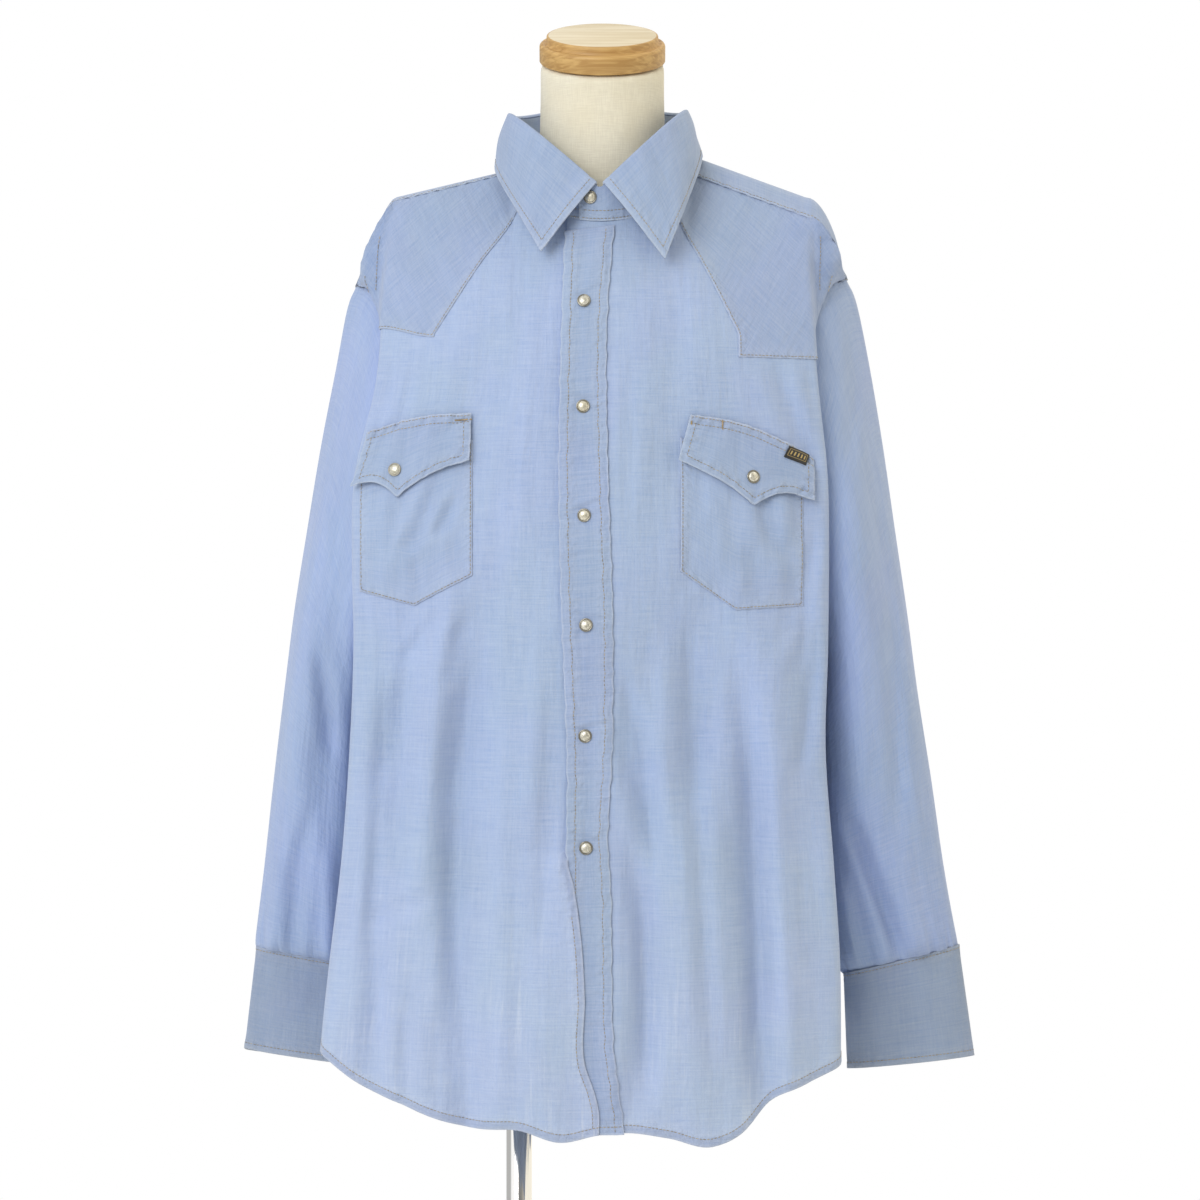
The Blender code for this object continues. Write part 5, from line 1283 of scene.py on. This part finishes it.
def woven_tab():
    """Black satin tab with a plain border and bars in gold thread."""
    tree = new_material("woven_tab")
    at = tree.node("ShaderNodeUVMap", uv_map="cloth")
    x, y = tree.parts(at)[:2]
    across, down = x * (1 / TAB_SIZE[0]), y * (-1 / TAB_SIZE[1])

    def inside(aside, below):
        """1 further in than these shares from the tab's edges."""
        return (across.rise(aside, aside + 0.02) * (1 - across.rise(0.98 - aside, 1 - aside))
                * down.rise(below, below + 0.04) * (1 - down.rise(0.96 - below, 1 - below)))

    border = inside(0.07, 0.12) * (1 - inside(0.10, 0.18))
    bars = (across * 2 * math.pi * 6.5).maths("SINE").rise(0.15, 0.45)
    gold = border * 0.55 + inside(0.16, 0.30) * bars
    return tree.finish(Base_Color=tree.mix(gold, (0.012, 0.012, 0.011, 1), (0.46, 0.33, 0.12, 1)),
                       Roughness=0.6, Sheen_Weight=0.2,
                       Normal=tree.bump(tree.noise(at, 3200.0) + gold, 0.4, 0.0002))


cloth("woven_tab_piece", (TAB_SIZE[0], 0.0100), (0.0010, 0.0010), tab_place, woven_tab(), "tab", "label_tab",
      wall=0.0005, ply=1.0)


# ---- The sleeves: closed tubes from the dropped armholes, felled to the body, creased lengthwise and
# gathered into the cuffs.  A plain strip covers each one's slit at the back.
SLEEVE = {
    RIGHT: columns(
        "outer_x outer_z inner_x inner_z",
        (205, 1284, 197, 1030),
        (212.5, 1264, 201, 1017),
        (221.8, 1215, 201, 1000),
        (234.4, 1150, 200.5, 975),
        (246, 1080, 200, 945),
        (257, 1010, 200, 910),
        (265.4, 940, 200, 870),
        (273.8, 870, 201, 820),
        (281.4, 800, 201, 765),
        (288, 740, 199, 721),
        (287, 726.5, 196, 710),
    ),
    LEFT: columns(
        "outer_x outer_z inner_x inner_z",
        (207.5, 1289, 190, 1030),
        (216, 1268, 190, 1017),
        (226.8, 1215, 189, 1000),
        (237.7, 1150, 188, 975),
        (247.8, 1080, 187, 945),
        (258, 1010, 183, 910),
        (267, 940, 182, 870),
        (278, 870, 183, 820),
        (288, 800, 187, 765),
        (298, 740, 199, 718),
        (299.9, 728, 206, 704),
    ),
}
SLEEVE_DEPTH = columns(
    "front back front_inset back_inset",
    (62, 80, 38, 9),
    (70, 88, 34, 3),
    (76, 94, 26, 0),
    (76, 94, 18, 0),
    (72, 88, 10, 0),
    (66, 82, 4, 0),
    (58, 74, 0, 0),
    (50, 66, 0, 0),
    (40, 58, 0, 0),
    (30, 48, 0, 0),
    (14, 36, 0, 0),
)
for table in SLEEVE.values():
    table |= SLEEVE_DEPTH
STATIONS = np.arange(11.0)      # down the sleeve: one for each row of its tables
SLEEVE_CREASES = columns(
    CREASE,
    (201, 856, 262, 696, 0, 5.8, 8.7),
    (198, 800, 214, 700, 0, 7, -4.6),
    (240, 820, 272, 700, 2, 10, -4.3),
    (203, 1200, 216, 800, 4, 14, -5.8),
    (240, 1080, 250, 800, 0, 7, 4.3),
    (224, 1230, 236, 1000, 0, 8, 3.8),
    (212, 1270, 204, 1120, 4, 7, 4.3),
    (-205, 1250, -238, 760, 4, 13, 7),
    (-233, 990, -222, 880, 0, 6, 4.9),
    (-246, 1130, -262, 820, 3, 10, -4.3),
    (-240, 860, -255, 700, -4, 7, 4.2),
    (-268, 830, -272, 700, 0, 7, -3.8),
    (-226, 830, -224, 690, 0, 7, -4.3),
    (-222, 1270, -230, 1080, 0, 8, 3.5),
)
SLEEVE_BACK_CREASES = columns(
    CREASE,
    (214, 1240, 240, 760, 6, 13, 10.1),
    (240, 980, 262, 720, 0, 9, 6.4),
    (222, 900, 226, 700, 0, 8, -4.3),
    (236, 1200, 250, 920, 0, 10, -4.3),
    (-214, 1200, -244, 720, -5, 13, 10.1),
    (-236, 1120, -262, 860, 0, 10, -4.9),
    (-226, 880, -246, 700, 0, 7, 5.8),
)
SLIT_TURN, SLIT_WIDTH, SLIT_FROM, SLIT_TO = 1.5 * math.pi, math.pi / 8, 7.0, 9.97
SLIT_STITCH = 0.0020


def sleeve(side, turn, station):
    """A place on a sleeve: turn is 0 outside and pi inside, through the front; station is 10 at the cuff."""
    value = {name: curve(station, STATIONS, numbers) for name, numbers in SLEEVE[side].items()}
    w, sine = (1 - np.cos(turn)) / 2, np.sin(turn)
    ahead = sine > 0
    inset = np.where(ahead, value["front_inset"], value["back_inset"])
    x = (blend(value["outer_x"], value["inner_x"], w)
         - inset * np.abs(sine) ** np.where(ahead, ARMHOLE_SQUARE, 2))
    y = 0.005 * w - np.where(ahead, value["front"], value["back"]) * sine
    z = blend(value["outer_z"], value["inner_z"], w)
    inward = ease(np.abs(sine), 0.15, 0.6) * ease(station, 0.2, 1.6) * (1 - ease(station, 9.0, 9.9))
    y = y + creases(SLEEVE_CREASES, side * x, z) * inward * ahead
    y = y - creases(SLEEVE_BACK_CREASES, side * x, z) * inward * (sine < 0)
    uneven = np.sin(17 * turn + 1) + 0.7 * np.sin(29 * turn + 2) + 0.8 * np.sin(11 * turn)
    gather = 0.0009 * uneven * np.exp(-((9.6 - station) / 0.9) ** 2) * (1 - ease(station, 9.6, 9.9))
    return np.stack((side * (x + gather * np.cos(turn)), y - gather * sine, z), -1)


def sleeve_place(side, u, v):
    run = SLEEVE[side]["outer_z"][0] - SLEEVE[side]["outer_z"]
    return sleeve(side, math.pi - side * 2 * math.pi * u, np.interp(v * run[-1], run, STATIONS))


def slit_place(side, u, v):
    turn = SLIT_TURN + SLIT_WIDTH * (u if side == RIGHT else 1 - u)
    return raised(sleeve, side, turn, blend(SLIT_FROM, SLIT_TO, v), 0.01, LAID + 0.0004)


# painted shade: a darker, bluer copy of the chambray for the sleeves, which turn away from the light
sleeve_shaded_chambray = chambray("chambray_sleeve_shaded", (0.238, 0.328, 0.565, 1), (0.610, 0.665, 0.770, 1),
                        (0.90, 0.90, 0.92, 1))
sleeve_seams = []
for side, name in SIDES.items():
    cloth("sleeve_tube_" + name, (0.400, 0.550), (0.0036, 0.0036),
          lambda u, v: sleeve_place(side, u, v), sleeve_shaded_chambray, "chambray", "sleeve_" + name,
          sewn={"top": 0.0, "bottom": 0.0}, closed=True)
    slit = cloth("slit_strip_" + name, (0.022, 0.140), (0.0030, 0.0040),
                 lambda u, v: slit_place(side, u, v), one_ply, "chambray", "sleeve_placket_" + name,
                 ply=1.0,
                 sewn=dict.fromkeys(("left", "right", "top"), SLIT_STITCH), pressed=("left", "right", "top"))
    sleeve_seams += (seams(slit, "left right top", SLIT_STITCH, 0.001)
                     + seams(fronts[side], OUTER[side], 0.0020, 0.002, HEM_DEPTH)
                     + seams(fronts[side], OUTER[side], 0.0085, 0.002, HEM_DEPTH)
                     + seams(yoke_cloth, name, 0.0020))
stitches("sleeve_stitching", sleeve_seams)


# ---- The cuffs: stiff doubled bands, greyer than the sleeves, stitched along top and bottom and lapped at
# the back, where a snap closes each one.
CUFF = {
    RIGHT: {"outer": (0.2980, 0.6440), "inner": (0.1940, 0.6290), "dip": 0.0045},
    LEFT: {"outer": (0.3140, 0.6380), "inner": (0.2080, 0.6270), "dip": 0.0010},
}
CUFF_STEPS, CUFF_LAP = 24, 3     # shares of a turn: once round, and in the lap
CUFF_FRONT, CUFF_BACK = 0.016, 0.028
CUFF_PAST, CUFF_UP = 0.0010, 0.0030     # beyond the sleeve's end, sideways and upwards
CUFF_WALL, CUFF_OVER = 0.0016, 0.0024
CUFF_TOP_STITCH, CUFF_STITCH, CUFF_END_STITCH = 0.0026, 0.0050, 0.0040


def cuff_place(side, u, v):
    foot, seam = CUFF[side], SLEEVE[side]
    number = (CUFF_STEPS + CUFF_LAP) * (u if side == RIGHT else 1 - u)
    turn = 1.5 * math.pi + 2 * math.pi * number / CUFF_STEPS
    w, sine = (1 - np.cos(turn)) / 2, np.sin(turn)
    outer_x = blend(seam["outer_x"][-1] + CUFF_PAST, foot["outer"][0], v)
    inner_x = blend(seam["inner_x"][-1] - CUFF_PAST, foot["inner"][0], v)
    outer_z, inner_z = (blend(seam[end + "_z"][-1] + CUFF_UP, foot[end][1], v) for end in ("outer", "inner"))
    grow = CUFF_OVER * ease(number, CUFF_STEPS - 3, CUFF_STEPS) + 0.0012
    depth = np.where(sine > 0, CUFF_FRONT, CUFF_BACK)
    middle, half = (outer_x + inner_x) / 2, (outer_x - inner_x) / 2 + grow * 0.4
    swell = 0.0016 * (np.sin(2 * turn + 3 * v) + 0.8 * np.sin(5 * turn + 2)) * np.sin(math.pi * v)
    return np.stack((side * (middle + half * np.cos(turn)), -(depth + grow + swell) * sine,
                     blend(outer_z, inner_z, w) - foot["dip"] * v * np.clip(-sine, 0, 1) ** 0.5), -1)


cuff_cloth = chambray("chambray_cuff", tinted(WARP, 0.90), tinted(WEFT, 0.85), (0.82, 0.80, 0.78, 1))
cuffs, cuff_seams = {}, []
for side, name in SIDES.items():
    cuffs[side] = cloth("cuff_doubled_" + name, (0.245, 0.084), (0.0030, 0.0030),
                        lambda u, v: cuff_place(side, u, v), cuff_cloth, "chambray_cuff",
                        "cuff_" + name, ply=1.0, wall=CUFF_WALL,
                        sewn={"top": CUFF_TOP_STITCH, "bottom": CUFF_STITCH, "left": CUFF_END_STITCH,
                              "right": CUFF_END_STITCH},
                        pucker=0.0006)
    cuff_seams += (seams(cuffs[side], "top", CUFF_TOP_STITCH, 0.001)
                   + seams(cuffs[side], "bottom", CUFF_STITCH, 0.004)
                   + seams(cuffs[side], name, CUFF_END_STITCH, 0.004, 0.005))
stitches("cuff_stitching", cuff_seams)


# ---- The collar: a band stands round the neck and snaps at the throat, and a pointed fall turns over it,
# stitched 6 mm in from its edges.
STAND_IN, STAND_DROP, STAND_FOOT, STAND_STITCH = 0.968, 0.003, -0.0022, 0.0020
STAND_LAP = (0.24, 0.10)     # angles by which the stand's ends pass the front
COLLAR_WALL, COLLAR_STITCH, FOLD_RADIUS, FOLD_SHARE = 0.0016, 0.0060, 0.0024, 0.12
FOLD_FRONT, FOLD_BACK = (-0.089, 1.360), (0.074, 1.451)
FOLD_SIDE = {RIGHT: (0.0762, -0.012, 1.427), LEFT: (0.0724, -0.012, 1.430)}
FALL_EDGE = {    # an angle from the front, in degrees, and the edge's X, Y and height there
    RIGHT: np.array((
        (0, 0.0473, -0.1030, 1.3028),
        (38, 0.0662, -0.0840, 1.3360),
        (90, 0.0878, -0.0180, 1.3800),
        (135, 0.0760, 0.0620, 1.3900),
        (180, 0.0000, 0.0960, 1.3920),
    )),
    LEFT: np.array((
        (0, 0.0522, -0.1020, 1.2963),
        (42, 0.0687, -0.0820, 1.3390),
        (90, 0.0852, -0.0180, 1.3880),
        (135, 0.0760, 0.0620, 1.3940),
        (180, 0.0000, 0.0960, 1.3920),
    )),
}
FALL_BOW = 0.0018


def round_neck(turn):
    """The side that an angle round the neck lies on, and the angle from the front there."""
    return np.where(np.sin(turn) < 0, RIGHT, LEFT), np.abs((turn + math.pi) % (2 * math.pi) - math.pi)


def by_side(side, values):
    return np.where(side == RIGHT, values[RIGHT], values[LEFT])


def fold_place(turn):
    """The collar's fold at an angle round the neck, 0 at the throat and pi at the back."""
    side, angle = round_neck(turn)
    sine, cosine = np.sin(angle), np.cos(angle)
    half, beside, height = (by_side(side, {key: FOLD_SIDE[key][i] for key in FOLD_SIDE}) for i in range(3))
    end_y, end_z = (np.where(cosine > 0, *ends) for ends in zip(FOLD_FRONT, FOLD_BACK))
    y, z = blend(beside, end_y, np.abs(cosine)), blend(end_z, height, sine)
    return np.stack((side * half * sine, y, z), -1)


def neckline_place(turn):
    side, angle = round_neck(turn)
    sine, cosine = np.sin(angle), np.cos(angle)
    y, z = (blend(beside, np.where(cosine > 0, *ends), np.abs(cosine))
            for beside, *ends in zip((NECK_SIDE_Y, NECK_SIDE_Z), NECK_FRONT, NECK_BACK))
    return np.stack((side * NECK_HALF * sine, y, z), -1)


def neck_band_place(u, v):
    turn = blend(-STAND_LAP[0], 2 * math.pi + STAND_LAP[1], u)
    top = fold_place(turn) * np.array((STAND_IN, STAND_IN, 1.0)) - np.array((0, 0, STAND_DROP))
    foot = neckline_place(turn) + np.array((0, 0, STAND_FOOT))
    lapped = 0.0016 * (1 - ease(turn, 0.0, 0.6)) + 0.0024 * v * (1 - ease(np.sin(turn / 2), 0.3, 0.8))
    return blend(top, foot, v[:, None]) - lapped[:, None] * np.array((0, 1, 0))


def fall_place(u, v):
    turn = np.radians(blend(2.0, 358.0, u))
    side, angle = round_neck(turn)
    lower = np.stack([by_side(side, {key: curve(np.degrees(angle), rows[:, 0], rows[:, column])
                                     for key, rows in FALL_EDGE.items()}) for column in (1, 2, 3)], -1)
    lower[:, 0] *= side
    outward = np.stack((side * np.sin(angle), -np.cos(angle), 0 * angle), -1)
    upward = np.array((0.0, 0.0, 1.0))
    middle = fold_place(turn) - FOLD_RADIUS * upward
    arc = (math.pi * (1 - 0.66 * np.minimum(v / FOLD_SHARE, 1)))[:, None]
    rolled = middle + FOLD_RADIUS * (np.cos(arc) * outward + np.sin(arc) * upward)
    t = np.clip((v - FOLD_SHARE) / (1 - FOLD_SHARE), 0, 1)[:, None]
    bow = FALL_BOW * np.sin(math.pi * t) * (outward + 0.6 * upward)
    slack = 0.0010 * np.sin(math.pi * t) * np.sin(5.3 * turn[:, None] + 4 * t)
    return blend(rolled, lower, t) + bow + slack * outward


collar_stand = cloth("neck_band", (0.480, 0.050), (0.0032, 0.0030), neck_band_place, two_ply,
                     "chambray_double", "collar_stand", ply=1.0, wall=COLLAR_WALL, pucker=0.0003,
                     sewn={"bottom": STAND_STITCH, "left": 0.0030, "right": 0.0030})
collar_fall = cloth("collar_fall", (0.440, 0.078), (0.0028, 0.0026), fall_place, two_ply,
                    "chambray_double", "collar", ply=1.0, wall=COLLAR_WALL, pucker=0.0004,
                    sewn=dict.fromkeys(("bottom", "left", "right"), COLLAR_STITCH))
stitches("collar_stitching", seams(collar_fall, "bottom", COLLAR_STITCH, COLLAR_STITCH)
         + seams(collar_fall, "left right", COLLAR_STITCH, 0.006, COLLAR_STITCH)
         + seams(collar_stand, "bottom", STAND_STITCH, 0.002) + seams(collar_stand, "bottom", 0.0085, 0.004))


# ---- The snaps: pearl caps set in thin steel rings, six down the band, one at the throat, one on each
# pocket's flap and one on each cuff.
RING_RADIUS, PEARL_RADIUS, RING_HEIGHT, PEARL_HEIGHT = 0.0053, 0.0043, 0.0014, 0.0028
LIP_MIDDLE, LIP_RADIUS = 0.0049, 0.0007
PEARL_SIDE, PEARL_FOOT, RING_INSIDE, RING_FOOT = RING_HEIGHT * 0.7, 0.0002, 0.0001, -0.0003


def pearl():
    """Synthetic pearl: creamy, clouded and glossy under a clear coat."""
    tree = new_material("pearl")
    place = tree.own_place()
    cloud = tree.noise(place, 420.0, Detail=3.0, Distortion=1.5)
    cream = tree.mix(cloud.rise(0.3, 0.7), (0.420, 0.395, 0.310, 1), (0.800, 0.775, 0.680, 1))
    yellowed = tree.mix(tree.noise(place, 9.0).rise(0.45, 0.65) * 0.35, cream, (0.640, 0.560, 0.360, 1))
    return tree.finish(Base_Color=yellowed, Roughness=0.34, Metallic=0.55, Coat_Weight=0.8,
                       Coat_Roughness=0.05)


def repeated(mesh, places):
    """One mesh that repeats a mesh at each place."""
    builder = bmesh.new()
    for place in places:
        copy = mesh.copy()
        copy.transform(place)
        builder.from_mesh(copy)
    return smooth(meshed(builder, mesh.name))


def seat(sheet, node):
    """Where a snap sits on a sheet: the foot of its solid's centre, turned to the cloth's normal."""
    centre = np.array(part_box(node)).sum(0) / 2
    nearest = np.argmin(np.linalg.norm(sheet["points"] - centre, axis=-1))
    point, normal = (sheet[name].reshape(-1, 3)[nearest] for name in ("points", "normals"))
    foot = centre - normal * np.dot(centre - point, normal)
    turn = Vector((0, 0, 1)).rotation_difference(Vector(normal))
    return Matrix.Translation(foot) @ turn.to_matrix().to_4x4()


snap_nodes = {"snap_stand": collar_stand}
snap_nodes |= {f"snap_front_{number}": band_cloth for number in range(1, 7)}
snap_nodes |= {"snap_pocket_" + name: flaps[side] for side, name in SIDES.items()}
snap_nodes |= {"snap_cuff_" + name: cuffs[side] for side, name in SIDES.items()}
snap_places = [seat(sheet, node) for node, sheet in snap_nodes.items()]
dome = arc_points((0, PEARL_SIDE), (PEARL_RADIUS, PEARL_HEIGHT - PEARL_SIDE), math.pi / 2, 0, 6)
pearls = turned([*dome, (PEARL_RADIUS, PEARL_FOOT), (0, PEARL_FOOT)], 20)
add_piece("snap_pearls", repeated(pearls, snap_places), pearl(), "pearl", *snap_nodes)
lip = arc_points((LIP_MIDDLE, RING_HEIGHT - LIP_RADIUS), (LIP_RADIUS,) * 2, math.pi, 0, 6)
rings = turned([(0, RING_INSIDE), (PEARL_RADIUS - 0.0003, RING_INSIDE), *lip, (RING_RADIUS, RING_FOOT),
                (0, RING_FOOT)], 24)
ring_steel = new_material("ring_steel").finish(Base_Color=(0.300, 0.285, 0.245, 1), Metallic=1.0,
                                               Roughness=0.28)
add_piece("snap_rings", repeated(rings, snap_places), ring_steel, "chrome")
